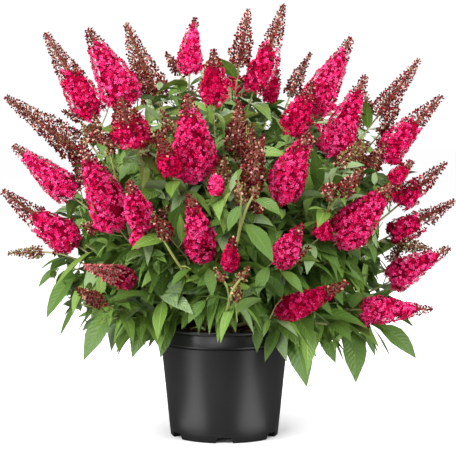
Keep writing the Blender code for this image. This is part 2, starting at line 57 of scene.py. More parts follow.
upward = np.array((0.0, 0.0, 1.0))
goldenTurn = 2.39996                    # radians from one leaf, floret or bud to the next
spray = np.random.default_rng(5)        # deals out sizes, turns and tints of the many small things
massNodes = sorted(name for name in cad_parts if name.startswith("mass_"))
caneNodes = sorted(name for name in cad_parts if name.startswith("cane_"))

# camera, floor and light
view = {
    "place": (0.0, -4.0, 0.78), "pitch": 4.72, "lens": 146.7, "sensor": 36.0, "shift": (0.0081, 0.0066),
    "farthest": 60.0,
}
camera = bpy.data.objects.new("camera", bpy.data.cameras.new("camera"))
camera.location = view["place"]
camera.rotation_euler = (math.radians(90 - view["pitch"]), 0.0, 0.0)
camera.data.sensor_width = view["sensor"]
camera.data.lens = view["lens"]
camera.data.shift_x, camera.data.shift_y = view["shift"]
camera.data.clip_end = view["farthest"]
scene.collection.objects.link(camera)
scene.camera = camera
scene.view_settings.view_transform = "Standard"

studio = {
    "skyStrength": 0.40, "skySeen": 1.05, "floorSize": 30.0, "floorColour": (0.80, 0.80, 0.80),
    # the glow fades out over two ranges around a spot just behind the pot: a painted shadow on the floor
    "floorBounce": (0.11, 0.11, 0.11), "floorGlow": 0.66, "paintedShadowNear": (0.06, 0.22), "paintedShadowFar": (0.20, 0.50),
    # the last range cuts the glow out beneath the pot: a painted shade that darkens the notches
    "paintedShadowShare": 0.60, "paintedShadowBack": 0.035, "paintedShadeUnderPot": (0.104, 0.1150),
    # place, width and height in metres, power, what it faces, turn about the upright
    "lamps": {
        "leftStrip": ((-1.95, -1.30, 0.85), (0.6, 1.8), 56.0, (0.0, 0.0, 0.45), 0),
        "rightStrip": ((1.95, -1.30, 0.85), (0.6, 1.8), 58.0, (0.0, 0.0, 0.45), 0),
        "leftCard": ((-0.333, -0.280, 0.004), (0.53, 0.17), 0.62, (-0.333, -0.280, 1.0), 40),
        "rightCard": ((0.300, -0.311, 0.004), (0.53, 0.17), 0.62, (0.300, -0.311, 1.0), -46),
        "keyLamp": ((-1.1, -3.1, 2.3), (1.3, 1.3), 72.0, (0.0, 0.0, 0.5), 0),
        "frontLamp": ((-1.0, -3.4, 0.65), (2.0, 1.0), 34.0, (0.0, 0.0, 0.35), 0),
        "topLamp": ((0.0, 0.1, 3.0), (1.8, 1.8), 66.0, (0.0, 0.0, 0.4), 0),
        "backLamp": ((0.3, 3.0, 2.0), (1.6, 1.6), 60.0, (0.0, 0.0, 0.5), 0),
    },
}


class Signal:
    def __init__(self, finish, socket):
        self.finish = finish
        self.socket = socket

    def reckon(self, operation, other, reflected=False):
        values = (other, self) if reflected else (self, other)
        return self.finish.node("ShaderNodeMath", {"operation": operation}, dict(enumerate(values)))

    def __add__(self, other):
        return self.reckon("ADD", other)

    __radd__ = __add__

    def __sub__(self, other):
        return self.reckon("SUBTRACT", other)

    def __rsub__(self, other):
        return self.reckon("SUBTRACT", other, True)

    def __mul__(self, other):
        return self.reckon("MULTIPLY", other)

    __rmul__ = __mul__


class Finish:
    def __init__(self, name, colour, roughness, **constants):
        self.material = bpy.data.materials.new(name)
        self.material.use_nodes = True
        self.tree = self.material.node_tree
        self.surface = self.tree.nodes["Principled BSDF"]
        self.give("Base Color", colour)
        self.give("Roughness", roughness)
        for socket, value in constants.items():
            self.surface.inputs[socket.replace("_", " ")].default_value = value

    def plug(self, socket, value):
        if isinstance(value, Signal):
            self.tree.links.new(value.socket, socket)
        elif hasattr(value, "__len__") and len(value) == 3 and socket.type == "RGBA":
            socket.default_value = (*value, 1.0)
        else:
            socket.default_value = value

    def give(self, socket, value):
        self.plug(self.surface.inputs[socket], value)

    def node(self, kind, settings=None, values=None, output=0):
        made = self.tree.nodes.new(kind)
        for name, value in (settings or {}).items():
            setattr(made, name, value)
        for name, value in (values or {}).items():
            self.plug(made.inputs[name], value)
        return Signal(self, made.outputs[output])

    def place(self):
        return self.node("ShaderNodeTexCoord", output="Object")

    def noise(self, scale, detail=3.0, roughness=0.5, stretch=(1, 1, 1)):
        vector = self.node("ShaderNodeMapping", values={"Vector": self.place(), "Scale": stretch})
        values = {"Vector": vector, "Scale": scale, "Detail": detail, "Roughness": roughness}
        return self.node("ShaderNodeTexNoise", values=values)

    def rise(self, value, low, high):
        values = {"Value": value, "From Min": low, "From Max": high}
        return self.node("ShaderNodeMapRange", {"interpolation_type": "SMOOTHSTEP"}, values)

    def blend(self, factor, first, second):
        return self.node("ShaderNodeMix", {"data_type": "RGBA"}, {0: factor, 6: first, 7: second}, 2)

    def relief(self, height, distance, strength=1.0):
        values = {"Height": height, "Distance": distance, "Strength": strength}
        self.give("Normal", self.node("ShaderNodeBump", values=values))


def unit(vector):
    return vector / np.linalg.norm(vector, axis=-1, keepdims=True)


def radial(first, second, angle):
    return first * math.cos(angle) + second * math.sin(angle)


def shapePiece(name, shape, *skins):
    mesh = bpy.data.meshes.new(name)
    shape.to_mesh(mesh)
    shape.free()
    for skin in skins:
        mesh.materials.append(skin)
    piece = bpy.data.objects.new(name, mesh)
    scene.collection.objects.link(piece)
    return piece


def setStage():
    world = bpy.data.worlds.new("studio")
    scene.world = world
    world.use_nodes = True
    tree = world.node_tree
    sky = tree.nodes["Background"]
    sky.inputs["Color"].default_value = (1.0, 1.0, 1.0, 1.0)
    path = tree.nodes.new("ShaderNodeLightPath")
    level = tree.nodes.new("ShaderNodeMapRange")
    level.inputs["To Min"].default_value = studio["skyStrength"]
    level.inputs["To Max"].default_value = studio["skySeen"]
    tree.links.new(path.outputs["Is Camera Ray"], level.inputs["Value"])
    tree.links.new(level.outputs["Result"], sky.inputs["Strength"])
    shape = bmesh.new()
    bmesh.ops.create_grid(shape, x_segments=1, y_segments=1, size=studio["floorSize"] / 2)
    paper = Finish("floorPaper", studio["floorColour"], 0.95, Specular_IOR_Level=0.0)
    seen = paper.node("ShaderNodeLightPath", output="Is Camera Ray")
    # the floor's glow rises over two ramps away from the pot, leaving a painted shadow round its foot
    middle = (0.0, studio["paintedShadowBack"], 0.0)
    reach = paper.node("ShaderNodeVectorMath", {"operation": "DISTANCE"}, {0: paper.place(), 1: middle}, "Value")
    centre = paper.node("ShaderNodeVectorMath", {"operation": "LENGTH"}, {0: paper.place()}, "Value")
    inner, outer = paper.rise(reach, *studio["paintedShadowNear"]), paper.rise(reach, *studio["paintedShadowFar"])
    shadowedGlow = inner * studio["paintedShadowShare"] + outer * (1 - studio["paintedShadowShare"])
    # no glow beneath the pot: a painted shade seen through the notches
    clear = paper.rise(centre, *studio["paintedShadeUnderPot"])
    paper.give("Emission Color", paper.blend(seen * shadowedGlow * clear, (0.0, 0.0, 0.0), (1.0, 1.0, 1.0)))
    paper.give("Base Color", paper.blend(seen, studio["floorBounce"], studio["floorColour"]))
    paper.give("Emission Strength", studio["floorGlow"])
    shapePiece("floor", shape, paper.material)
    for name, (place, (width, height), power, target, twist) in studio["lamps"].items():
        lamp = bpy.data.lights.new(name, "AREA")
        lamp.shape = "RECTANGLE"
        lamp.size = width
        lamp.size_y = height
        lamp.energy = power
        holder = bpy.data.objects.new(name, lamp)
        holder.location = place
        holder.visible_camera = False
        facing = (Vector(target) - Vector(place)).to_track_quat("-Z", "Y")
        holder.rotation_euler = (Quaternion((0, 0, 1), math.radians(twist)) @ facing).to_euler()
        scene.collection.objects.link(holder)
    print("stage set")


setStage()


# finishes
def makePlastic():
    finish = Finish("potPlastic", (0.014, 0.014, 0.014), 0.48, Specular_IOR_Level=0.5)
    cloud = finish.noise(7.0, 4.0)
    grain = finish.noise(900.0, 2.0)
    finish.give("Base Color", finish.blend(cloud, (0.006, 0.006, 0.006), (0.010, 0.010, 0.010)))
    finish.give("Roughness", 0.34 + cloud * 0.07)
    finish.relief(grain, 0.00015, 0.4)
    return finish.material


def makeBark():
    finish = Finish("rootBark", (0.2, 0.13, 0.08), 0.85)
    ridges = finish.noise(160.0, 4.0, 0.6, (1, 1, 0.2))
    finish.give("Base Color", finish.blend(ridges, (0.10, 0.06, 0.035), (0.34, 0.25, 0.16)))
    finish.give("Roughness", 0.75 + ridges * 0.2)
    finish.relief(ridges, 0.0015)
    return finish.material


def makeRind(name, pale, dark, roughness):
    finish = Finish(name, pale, roughness)
    streak = finish.noise(120.0, 3.0, 0.6, (1, 1, 0.15))
    finish.give("Base Color", finish.blend(streak, dark, pale))
    finish.relief(streak, 0.0006, 0.6)
    return finish.material


def makeChip(name, colour):
    finish = Finish(name, colour, 0.9)
    fibre = finish.noise(420.0, 4.0, 0.65, (1, 0.3, 1))
    finish.give("Roughness", 0.8 + fibre * 0.2)
    finish.relief(fibre, 0.0012)
    return finish.material


def makeLeafSkin(name, colour, roughness):
    finish = Finish(name, colour, roughness, Specular_IOR_Level=0.35)
    blade = finish.node("ShaderNodeUVMap", {"uv_map": "blade"})
    across = finish.node("ShaderNodeSeparateXYZ", values={"Vector": blade}, output="X")
    along = finish.node("ShaderNodeSeparateXYZ", values={"Vector": blade}, output="Y")
    out = finish.node("ShaderNodeMath", {"operation": "ABSOLUTE"}, {0: across})
    wave = finish.node("ShaderNodeMath", {"operation": "SINE"}, {0: (along * 11.0 - out * 2.2) * 6.2832})
    crumple = finish.noise(260.0, 3.0)
    finish.relief(wave * 0.35 + crumple, 0.0012, 0.6)
    finish.give("Roughness", roughness - 0.08 + crumple * 0.16)
    return finish.material


def makeRib(name, colour):
    finish = Finish(name, colour, 0.6, Specular_IOR_Level=0.2)
    finish.relief(finish.noise(300.0, 2.0), 0.0003, 0.4)
    return finish.material


def makePetal(name, colour, roughness=0.6):
    finish = Finish(name, colour, roughness, Specular_IOR_Level=0.0)
    crease = finish.noise(500.0, 2.0)
    finish.give("Roughness", roughness - 0.1 + crease * 0.2)
    finish.relief(crease, 0.0005, 0.5)
    return finish.material


leafTints = {                            # colour, roughness, shares of the low, middle and high leaves; the middle leaves mostly take the deep green, a painted shade, and the low ones more of the fresh greens, a painted light
    "leafMid": ((0.136, 0.238, 0.038), 0.42, (0.50, 0.34, 0.28)),
    "leafFresh": ((0.160, 0.278, 0.054), 0.40, (0.26, 0.10, 0.12)),
    "leafGrey": ((0.200, 0.290, 0.132), 0.44, (0.14, 0.12, 0.38)),
    # the deep green, and the dull rib that goes with it, stand for leaves in shade: painted shade
    "leafShaded": ((0.076, 0.150, 0.023), 0.42, (0.08, 0.44, 0.14)),
    "leafOlive": ((0.172, 0.228, 0.045), 0.44, (0.04, 0.08, 0.10)),
}
petalTints = {
    "petalPink": (0.87, 0.082, 0.285),
    "petalRose": (0.77, 0.018, 0.145),
    "petalCrimson": (0.60, 0.006, 0.070),
    "petalDeep": (0.34, 0.001, 0.028),
    "petalDusty": (0.56, 0.070, 0.130),
}
budTints = {
    "budMaroon": (0.085, 0.008, 0.014),
    "budBrown": (0.145, 0.042, 0.018),
    "budRed": (0.270, 0.014, 0.024),
    "budDusty": (0.56, 0.150, 0.160),
    "budOlive": (0.250, 0.240, 0.090),
    # the pale tan of the calyx, lightened to stand for lit bud edges: own colour and a painted highlight
    "budTanAndHighlight": (0.640, 0.350, 0.270),
}
stalkTints = {"stalkRed": (0.46, 0.200, 0.140), "stalkGreen": (0.34, 0.38, 0.10)}
leafSkins = [makeLeafSkin(name, colour, rough) for name, (colour, rough, _) in leafTints.items()]
ribSkins = [makeRib("ribPale", (0.250, 0.370, 0.080)), makeRib("ribShaded", (0.110, 0.200, 0.035))]
petalSkins = [makePetal(name, colour) for name, colour in petalTints.items()]
budSkins = [makePetal(name, colour, 0.55) for name, colour in budTints.items()]
stalkSkins = [makeRind(name, colour, [v * 0.6 for v in colour], 0.65) for name, colour in stalkTints.items()]
redStalk, greenStalk = range(len(stalkTints))
print("finishes made")


# meshes from arrays
def arrayMesh(name, points, faces, tints, skins, smooth=False, blade=None):
    # points (n, 3), faces (m, 3 or 4), tints (m,) are indexes into skins
    mesh = bpy.data.meshes.new(name)
    corners = faces.shape[1]
    mesh.vertices.add(len(points))
    mesh.vertices.foreach_set("co", points.astype(np.float32).ravel())
    mesh.loops.add(faces.size)
    mesh.loops.foreach_set("vertex_index", faces.astype(np.int32).ravel())
    mesh.polygons.add(len(faces))
    mesh.polygons.foreach_set("loop_start", np.arange(len(faces), dtype=np.int32) * corners)
    mesh.polygons.foreach_set("material_index", tints.astype(np.int32))
    mesh.polygons.foreach_set("use_smooth", np.full(len(faces), smooth))
    for skin in skins:
        mesh.materials.append(skin)
    if blade is not None:
        layer = mesh.uv_layers.new(name="blade")
        layer.uv.foreach_set("vector", blade[faces.ravel()].astype(np.float32).ravel())
    mesh.update(calc_edges=True)
    piece = bpy.data.objects.new(name, mesh)
    scene.collection.objects.link(piece)
    return piece


def settle(piece, nodes):
    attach(piece, "root")
    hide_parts(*nodes)


def stampMesh(name, places, faces, skins, tints, smooth=False, blade=None):
    # places (n, v, 3) are copies of one shape, faces (m, 3 or 4) its faces, tints (n, m)
    copies, size = places.shape[:2]
    everyFace = (faces[None] + (np.arange(copies) * size)[:, None, None]).reshape(-1, faces.shape[1])
    marks = None if blade is None else np.tile(blade, (copies, 1))
    return arrayMesh(name, places.reshape(-1, 3), everyFace, tints.ravel(), skins, smooth, marks)


def standing(directions, rolls):
    # rotation of each copy, whose third column is its direction
    third = unit(directions)
    guide = np.where(np.abs(third[:, 2:3]) > 0.9, [[1.0, 0.0, 0.0]], [[0.0, 0.0, 1.0]])
    first = unit(np.cross(guide, third))
    second = np.cross(third, first)
    turnX = first * np.cos(rolls)[:, None] + second * np.sin(rolls)[:, None]
    turnY = np.cross(third, turnX)
    return np.stack([turnX, turnY, third], axis=2)


def placed(shape, spots, directions, rolls, sizes):
    turns = standing(directions, rolls)
    return np.einsum("nij,vj->nvi", turns, shape) * sizes[:, None, None] + spots[:, None]


# pot and bark mix
pot = {
    "height": 0.235, "lipRise": 0.0055, "rim": 0.1402, "bandDepth": 0.036, "bodyTop": 0.1378,
    "foot": 0.1165, "wall": 0.0022, "floor": 0.0130, "floorTop": 0.0155, "seam": 0.0175,
    "notchFoot": 0.038, "notchTop": 0.030, "notchHeight": 0.0122, "notchRound": 0.0025, "steps": 144, "sharp": 32,
}
soil = {
    "below": 0.013, "chips": 1500, "reach": 0.1295, "length": (0.006, 0.019), "width": (0.35, 0.6),
    "thick": (0.1, 0.28), "ragged": 0.28, "lean": 0.45, "level": 0.057, "dish": 0.004, "sunk": (0.0005, 0.004),
    "chipShares": (0.36, 0.28, 0.16, 0.20),
}
soilTop = pot["height"] - soil["below"]


def bodyRadius(height):
    return pot["foot"] + (pot["bodyTop"] - pot["foot"]) * height / (pot["height"] - pot["bandDepth"])


def spun(name, section, steps, skin):
    shape = bmesh.new()
    dots = [shape.verts.new((radius, 0.0, height)) for radius, height in section]
    edges = [shape.edges.new(pair) for pair in zip(dots, dots[1:])]
    bmesh.ops.spin(shape, geom=dots + edges, cent=(0, 0, 0), axis=(0, 0, 1), angle=math.tau,
                   steps=steps, use_merge=True)
    bmesh.ops.remove_doubles(shape, verts=shape.verts, dist=0.00001)
    bmesh.ops.recalc_face_normals(shape, faces=shape.faces)
    piece = shapePiece(name, shape, skin)
    piece.data.shade_smooth()
    piece.data.set_sharp_from_angle(angle=math.radians(pot["sharp"]))
    return piece


def potSection():
    # radius and height from the floor inside, over the lip and the band, down to the foot and the underside
    rim, top, body, seam = pot["rim"], pot["height"] + pot["lipRise"], pot["bodyTop"], pot["seam"]
    bandFoot = top - pot["bandDepth"]
    inner = pot["wall"]
    lip = ((-0.0040, -0.0014), (-0.0034, -0.0004), (-0.0022, 0.0), (-0.0008, -0.0003), (0.0003, -0.0011),
           (0.0007, -0.0024), (0.0006, -0.0040), (-0.0002, -0.0050), (-0.0014, -0.0058), (-0.0020, -0.0070),
           (-0.0017, -0.0084), (-0.0010, -0.0100), (-0.0008, -0.0118))
    band = ((0.0018, 0.0050), (0.0024, 0.0040), (0.0026, 0.0028), (0.0021, 0.0016), (0.0008, 0.0010),
            (-0.0018, 0.0006), (-0.0024, -0.0008), (-0.0016, -0.0024), (-0.0005, -0.0040))
    groove = ((0.0001, 0.0008), (-0.0007, 0.0002), (-0.0007, -0.0004), (-0.0001, -0.0010))
    foot = ((-0.0015, 0.0), (-0.0055, 0.0), (-0.0065, 0.0010))
    section = [(0.0, pot["floorTop"]), (bodyRadius(pot["floorTop"]) - inner, pot["floorTop"]),
               (body - inner - 0.0016, bandFoot)]
    section += [(rim + out, top + up) for out, up in lip]
    section += [(body + out, bandFoot + up) for out, up in band]
    section += [(bodyRadius(seam) + out, seam + up) for out, up in groove]
    section += [(bodyRadius(0.0030), 0.0030), (bodyRadius(0.0012) - 0.0004, 0.0012)]
    section += [(pot["foot"] + out, up) for out, up in foot]
    return section + [(0.0850, 0.0010), (0.0830, pot["floor"]), (0.0, pot["floor"])]


def makePot():
    shell = spun("potShell", potSection(), pot["steps"], makePlastic())
    cutters = []
    for turn in range(3):
        shape = bmesh.new()
        bmesh.ops.create_cube(shape, size=1.0)
        for vert in shape.verts:
            width = pot["notchFoot"] if vert.co.z < 0 else pot["notchTop"]
            vert.co.x *= width
            vert.co.y *= pot["rim"] * 2
            vert.co.z = -0.002 if vert.co.z < 0 else pot["notchHeight"]
        upper = [edge for edge in shape.edges if all(vert.co.z > 0 for vert in edge.verts)]
        upper = [edge for edge in upper if abs(edge.verts[0].co.x - edge.verts[1].co.x) < 0.001]
        bmesh.ops.bevel(shape, geom=upper, offset=pot["notchRound"], segments=3, profile=0.5,
                        affect="EDGES", material=-1)
        cutter = shapePiece("notch", shape)
        cutter.rotation_euler = (0.0, 0.0, math.pi * turn / 3)
        cut = shell.modifiers.new("notch", "BOOLEAN")
        cut.operation = "DIFFERENCE"
        cut.solver = "EXACT"
        cut.object = cutter
        cutters.append(cutter)
    bpy.context.view_layer.update()
    graph = bpy.context.evaluated_depsgraph_get()
    result = bpy.data.meshes.new_from_object(shell.evaluated_get(graph), depsgraph=graph)
    shell.modifiers.clear()
    shell.data = result
    for cutter in cutters:
        bpy.data.objects.remove(cutter, do_unlink=True)
    settle(shell, ["pot"])
    print("pot made")


def makeSoil():
    inner = pot["wall"] + 0.0006
    section = [
        (0.0, pot["floorTop"] + 0.0003), (bodyRadius(pot["floorTop"]) - inner, pot["floorTop"] + 0.0003),
        (pot["bodyTop"] - inner, pot["height"] - pot["bandDepth"]), (pot["bodyTop"] - inner, soilTop - 0.006),
        (soil["level"], soilTop - 0.004), (0.0, soilTop - 0.003),
    ]
    finish = Finish("mixBed", (0.03, 0.014, 0.009), 0.95)
    clods = finish.noise(240.0, 5.0, 0.7)
    finish.give("Base Color", finish.blend(clods, (0.012, 0.006, 0.004), (0.075, 0.034, 0.020)))
    finish.relief(clods, 0.004)
    settle(spun("mixBed", section, 64, finish.material), ["bark_mix"])
    block = np.array([(x, y, z) for x in (-0.5, 0.5) for y in (-0.5, 0.5) for z in (-0.5, 0.5)])
    faces = np.array([(0, 1, 3, 2), (4, 6, 7, 5), (0, 4, 5, 1), (2, 3, 7, 6), (0, 2, 6, 4), (1, 5, 7, 3)])
    count = soil["chips"]
    radius = soil["reach"] * np.sqrt(spray.uniform(0.01, 1.0, count))
    bearing = spray.uniform(0, math.tau, count)
    dish = soil["dish"] * np.clip((radius - soil["level"]) / 0.07, 0, 1)
    height = soilTop - dish - spray.uniform(*soil["sunk"], count)
    spots = np.stack([radius * np.cos(bearing), radius * np.sin(bearing), height], axis=1)
    leans = np.stack([spray.normal(0, soil["lean"], count) for _ in range(2)] + [np.ones(count)], axis=1)
    length = spray.uniform(*soil["length"], count)
    stretch = [np.ones(count), spray.uniform(*soil["width"], count), spray.uniform(*soil["thick"], count)]
    rough = 1 + spray.uniform(-soil["ragged"], soil["ragged"], (count, 8, 3))
    ragged = block[None] * np.stack(stretch, axis=1)[:, None] * rough
    turns = standing(leans, spray.uniform(0, math.tau, count))
    places = np.einsum("nij,nvj->nvi", turns, ragged * length[:, None, None]) + spots[:, None]
    skins = [makeChip("chipRed", (0.60, 0.25, 0.14)), makeChip("chipBrown", (0.34, 0.16, 0.10)),
             makeChip("chipTan", (0.78, 0.50, 0.33)), makeChip("chipDark", (0.12, 0.06, 0.04))]
    tints = spray.choice(4, count, p=soil["chipShares"])
    chips = stampMesh("barkChips", places, faces, skins, np.repeat(tints[:, None], 6, axis=1))
    settle(chips, ["bark_mix"])
    print("bark mix made")


makePot()
makeSoil()

# every shoot of the bush aims away from the heart of the pot's rim
heart = np.array((0.0, 0.0, pot["height"]))
bush = {
    "caneReach": 0.135, "caneLead": 0.028, "tierHeights": (0.015, 0.029, 0.043, 0.057), "topRing": 0.010,
    "rootRing": 0.014, "topRise": 0.066, "firstFork": 0.06, "forkStep": 0.05, "bareEnd": 0.78, "hiddenEnd": 0.66,
    "backTurn": 5.0, "backClimb": 2.0, "backReach": 0.97, "backSizes": (0.85, 1.05),
}
# thickness at the foot and at the tip, then sides
limbSizes = {
    "cane": (0.0043, 0.0034, 8), "main": (0.0034, 0.0019, 6), "fork": (0.0027, 0.0019, 6),
    "young": (0.0026, 0.0016, 5), "inner": (0.0024, 0.0011, 5), "bare": (0.0031, 0.0019, 6),
    "side": (0.0014, 0.0008, 4), "beside": (0.0014, 0.0010, 4), "leaf": (0.0013, 0.0009, 4),
    "head": (0.0020, 0.0008, 5), "bunch": (0.0012, 0.0010, 3),
}
# bearing, rise, reach, then for a shoot in flower: head length, head girth, lean, swing, look of the head
sideMasses = {
    "left_low": (1, [(174, 18, 0.500, 0.080, 0.028, -20, 0, "green"), (-178, 6, 0.330), (-161, 14, 0.380)]),
    "left_mid": (2, [(-175, 32, 0.560, 0.190, 0.072, 5, 0, "ripe"), (-158, 31, 0.480)]),
    "left_high": (3, [(-177, 41, 0.600, 0.165, 0.070, 0, 0, "bright"),
                      (174, 46, 0.690, 0.215, 0.068, -10, 0, "brown")]),
    "left_top": (4, [(170, 58, 0.748, 0.210, 0.075, 0, 0, "half"),
                     (-155, 64, 0.710, 0.175, 0.090, -5, 5, "bright"),
                     (149, 69, 0.703, 0.195, 0.076, -5, 0, "brown")]),
    "top": (4, [(-139, 83, 0.668, 0.115, 0.056, 15, 0, "bright"),
                (61, 81, 0.694, 0.130, 0.053, -10, 0, "loose"),
                (-32, 78, 0.706, 0.195, 0.064, -10, 0, "half")]),
    "right_top": (4, [(40, 67, 0.642, 0.110, 0.034, -10, 0, "brown"),
                      (11, 53, 0.722, 0.160, 0.054, 0, 0, "loose")]),
    "right_high": (3, [(-10, 47, 0.682, 0.180, 0.064, 0, 10, "ripe"),
                       (-27, 47, 0.551, 0.080, 0.041, 5, 0, "brown")]),
    "right_mid": (2, [(-11, 37, 0.595, 0.130, 0.052, 5, 0, "late"),
                      (-2, 29, 0.566, 0.155, 0.058, 0, 0, "late")]),
    "right_low": (0, [(-8, 20, 0.515, 0.145, 0.068, 10, 0, "bright"),
                      (-19, 7, 0.462, 0.145, 0.063, -5, 5, "bright"), (-4, 2, 0.330), (9, 6, 0.370)]),
    "right_crest": (4, [(-54, 60, 0.613, 0.125, 0.061, -5, 0, "crimson"),
                        (-35, 57, 0.645, 0.180, 0.074, 5, -5, "bright"),
                        (-24, 65, 0.684, 0.175, 0.076, -5, 0, "bright")]),
}
frontMasses = {
    "crest": (4, [(-94, 63, 0.665, 0.125, 0.060, -10, 5, "crimson"),
                  (-85, 56, 0.589, 0.130, 0.049, -10, 0, "brown")]),
    "upper_left": (3, [(-116.5, 48, 0.672, 0.105, 0.080, 5, 5, "late"),
                       (-99, 48, 0.676, 0.200, 0.096, 0, 5, "bright"),
                       (-105, 42, 0.639, 0.105, 0.046, 0, 0, "dark")]),
    "left": (2, [(-125, 40, 0.631, 0.200, 0.086, 12, 5, "bright"),
                 (-112, 35, 0.591, 0.135, 0.061, 5, 10, "bright")]),
    "upper_right": (3, [(-70, 42, 0.643, 0.180, 0.077, 0, 0, "bright"),
                        (-81, 42, 0.641, 0.185, 0.046, -5, 0, "brown"),
                        (-72, 28, 0.546, 0.125, 0.054, 10, 5, "bright")]),
    "right": (2, [(-47, 34, 0.588, 0.180, 0.087, 5, 0, "bright"), (-56, 37, 0.600, 0.080, 0.034, 0, 0, "brown"),
                  (-30, 28, 0.480)]),
    "middle": (1, [(-98, 33, 0.579, 0.205, 0.067, 5, 0, "bright"),
                   (-88, 26, 0.531, 0.150, 0.034, 0, 0, "crimson"),
                   (-106, 29, 0.559, 0.095, 0.031, -5, 0, "brown"), (-92, 20, 0.390)]),
    "lower_left": (0, [(-126, 20, 0.495, 0.165, 0.047, -5, 5, "dusty"),
                       (-130, 15, 0.470, 0.085, 0.031, 10, 5, "brown"), (-113, 17, 0.370), (-145, 6, 0.360)]),
    "lower_right": (0, [(-58, 17, 0.475, 0.200, 0.055, 5, 10, "crimson"), (-70, 16, 0.370), (-41, 5, 0.360)]),
}
# share in flower, share of gaps, how far bunches stand out, then how often each tint comes on petals, buds
# and inner buds
lookParts = ("open", "gaps", "lumps", "petals", "buds", "inner")
headLooks = {
    "bright": (0.80, 0.04, 0.05, (0.40, 0.34, 0.18, 0.08),
               (0.70, 0.05, 0.25), (0.20, 0.08, 0.44, 0.04, 0.0, 0.24)),
    "ripe": (0.54, 0.12, 0.08, (0.30, 0.34, 0.26, 0.10),
             (0.70, 0.10, 0.20), (0.20, 0.20, 0.35, 0.0, 0.0, 0.25)),
    "late": (0.42, 0.22, 0.16, (0.12, 0.32, 0.38, 0.18),
             (0.62, 0.10, 0.28), (0.18, 0.20, 0.30, 0.0, 0.0, 0.32)),
    "crimson": (0.70, 0.08, 0.08, (0.08, 0.28, 0.42, 0.22),
                (0.65, 0.10, 0.25), (0.25, 0.20, 0.35, 0.0, 0.0, 0.20)),
    "half": (0.50, 0.20, 0.10, (0.14, 0.34, 0.36, 0.16),
             (0.60, 0.25, 0.15), (0.15, 0.35, 0.20, 0.0, 0.0, 0.30)),
    "dark": (0.50, 0.15, 0.12, (0.0, 0.12, 0.48, 0.40),
             (0.55, 0.20, 0.25), (0.30, 0.35, 0.20, 0.0, 0.0, 0.15)),
    "brown": (0.00, 0.00, 0.22, (0.0, 0.0, 0.50, 0.50),
              (0.58, 0.36, 0.06), (0.16, 0.30, 0.10, 0.06, 0.04, 0.34)),
    "loose": (0.00, 0.00, 0.28, (0.0, 0.0, 0.50, 0.50),
              (0.50, 0.15, 0.30, 0.0, 0.0, 0.05), (0.12, 0.16, 0.26, 0.06, 0.0, 0.40)),
    "dusty": (0.30, 0.10, 0.08, (0.20, 0.20, 0.10, 0.10, 0.40),
              (0.06, 0.04, 0.16, 0.74), (0.04, 0.08, 0.18, 0.40, 0.0, 0.30)),
    "green": (0.00, 0.00, 0.20, (0.0, 0.0, 0.50, 0.50),
              (0.20, 0.45, 0.0, 0.0, 0.35), (0.05, 0.30, 0.0, 0.0, 0.45, 0.20)),
}
headLooks = {name: dict(zip(lookParts, row)) for name, row in headLooks.items()}


def heading(bearing, rise):
    turn, climb = math.radians(bearing), math.radians(rise)
    return np.array((math.cos(turn) * math.cos(climb), math.sin(turn) * math.cos(climb), math.sin(climb)))


def curveAt(points, shares):
    a, b, c, d = points
    t = np.asarray(shares)[..., None]
    r = 1.0 - t
    return a * r ** 3 + b * 3 * r ** 2 * t + c * 3 * r * t ** 2 + d * t ** 3


def curveRun(points, shares):
    a, b, c, d = points
    t = np.asarray(shares)[..., None]
    r = 1.0 - t
    return unit((b - a) * r ** 2 + (c - b) * 2 * r * t + (d - c) * t ** 2)


def allMasses():
    for _, shoots in (*sideMasses.values(), *frontMasses.values()):
        shoots[:] = [shoot if len(shoot) > 3 else shoot + (0, 0, 0, 0, "") for shoot in shoots]
    masses = dict(sideMasses)
    masses.update({"front_" + name: mass for name, mass in frontMasses.items()})
    dice = random.Random(11)
    for name, (tier, shoots) in frontMasses.items():
        turned = []
        for bearing, rise, reach, length, girth, lean, swing, look in shoots:
            turn = dice.uniform(-bush["backTurn"], bush["backTurn"])
            climb = dice.uniform(-bush["backClimb"], bush["backClimb"])
            size = dice.uniform(*bush["backSizes"])
            turned.append((bearing + 180 + turn, rise + climb, reach * bush["backReach"], length * size,
                           girth * size, lean, swing, look))
        masses["back_" + name] = (tier, turned)
    return masses


masses = allMasses()
aims = {name: unit(sum(heading(row[0], row[1]) for row in rows)) for name, (_, rows) in masses.items()}

# canes, twigs and stalks
limbRuns = []                            # points, name in limbSizes, tint, kind of piece


def limb(points, size, tint, kind):
    limbRuns.append((np.asarray(points), size, tint, kind))


def limbMesh(name, kind, skins, bumpy):
    points, faces, tints = [], [], []
    total = 0
    for run, size, tint, sort in limbRuns:
        if sort != kind:
            continue
        thick, thin, sides = limbSizes[size]
        steps = len(run)
        along = unit(np.gradient(run, axis=0))
        guide = np.eye(3)[np.argmin(np.abs(run[-1] - run[0]))]
        first = unit(np.cross(along, guide))
        second = np.cross(along, first)
        width = np.linspace(thick, thin, steps)
        angle = np.arange(sides) * math.tau / sides
        rough = 1 + spray.uniform(-bumpy, bumpy, (steps, sides))
        ring = first[:, None] * np.cos(angle)[None, :, None] + second[:, None] * np.sin(angle)[None, :, None]
        points.append((run[:, None] + ring * (width[:, None] * rough)[:, :, None]).reshape(-1, 3))
        row = np.arange(steps - 1)[:, None] * sides
        k = np.arange(sides)[None]
        following = (k + 1) % sides
        quads = np.stack([row + k, row + following, row + following + sides, row + k + sides], axis=2).reshape(-1, 4)
        faces.append(quads + total)
        tints.append(np.full(len(quads), tint))
        total += steps * sides
    return arrayMesh(name, np.concatenate(points), np.concatenate(faces), np.concatenate(tints), skins, True)


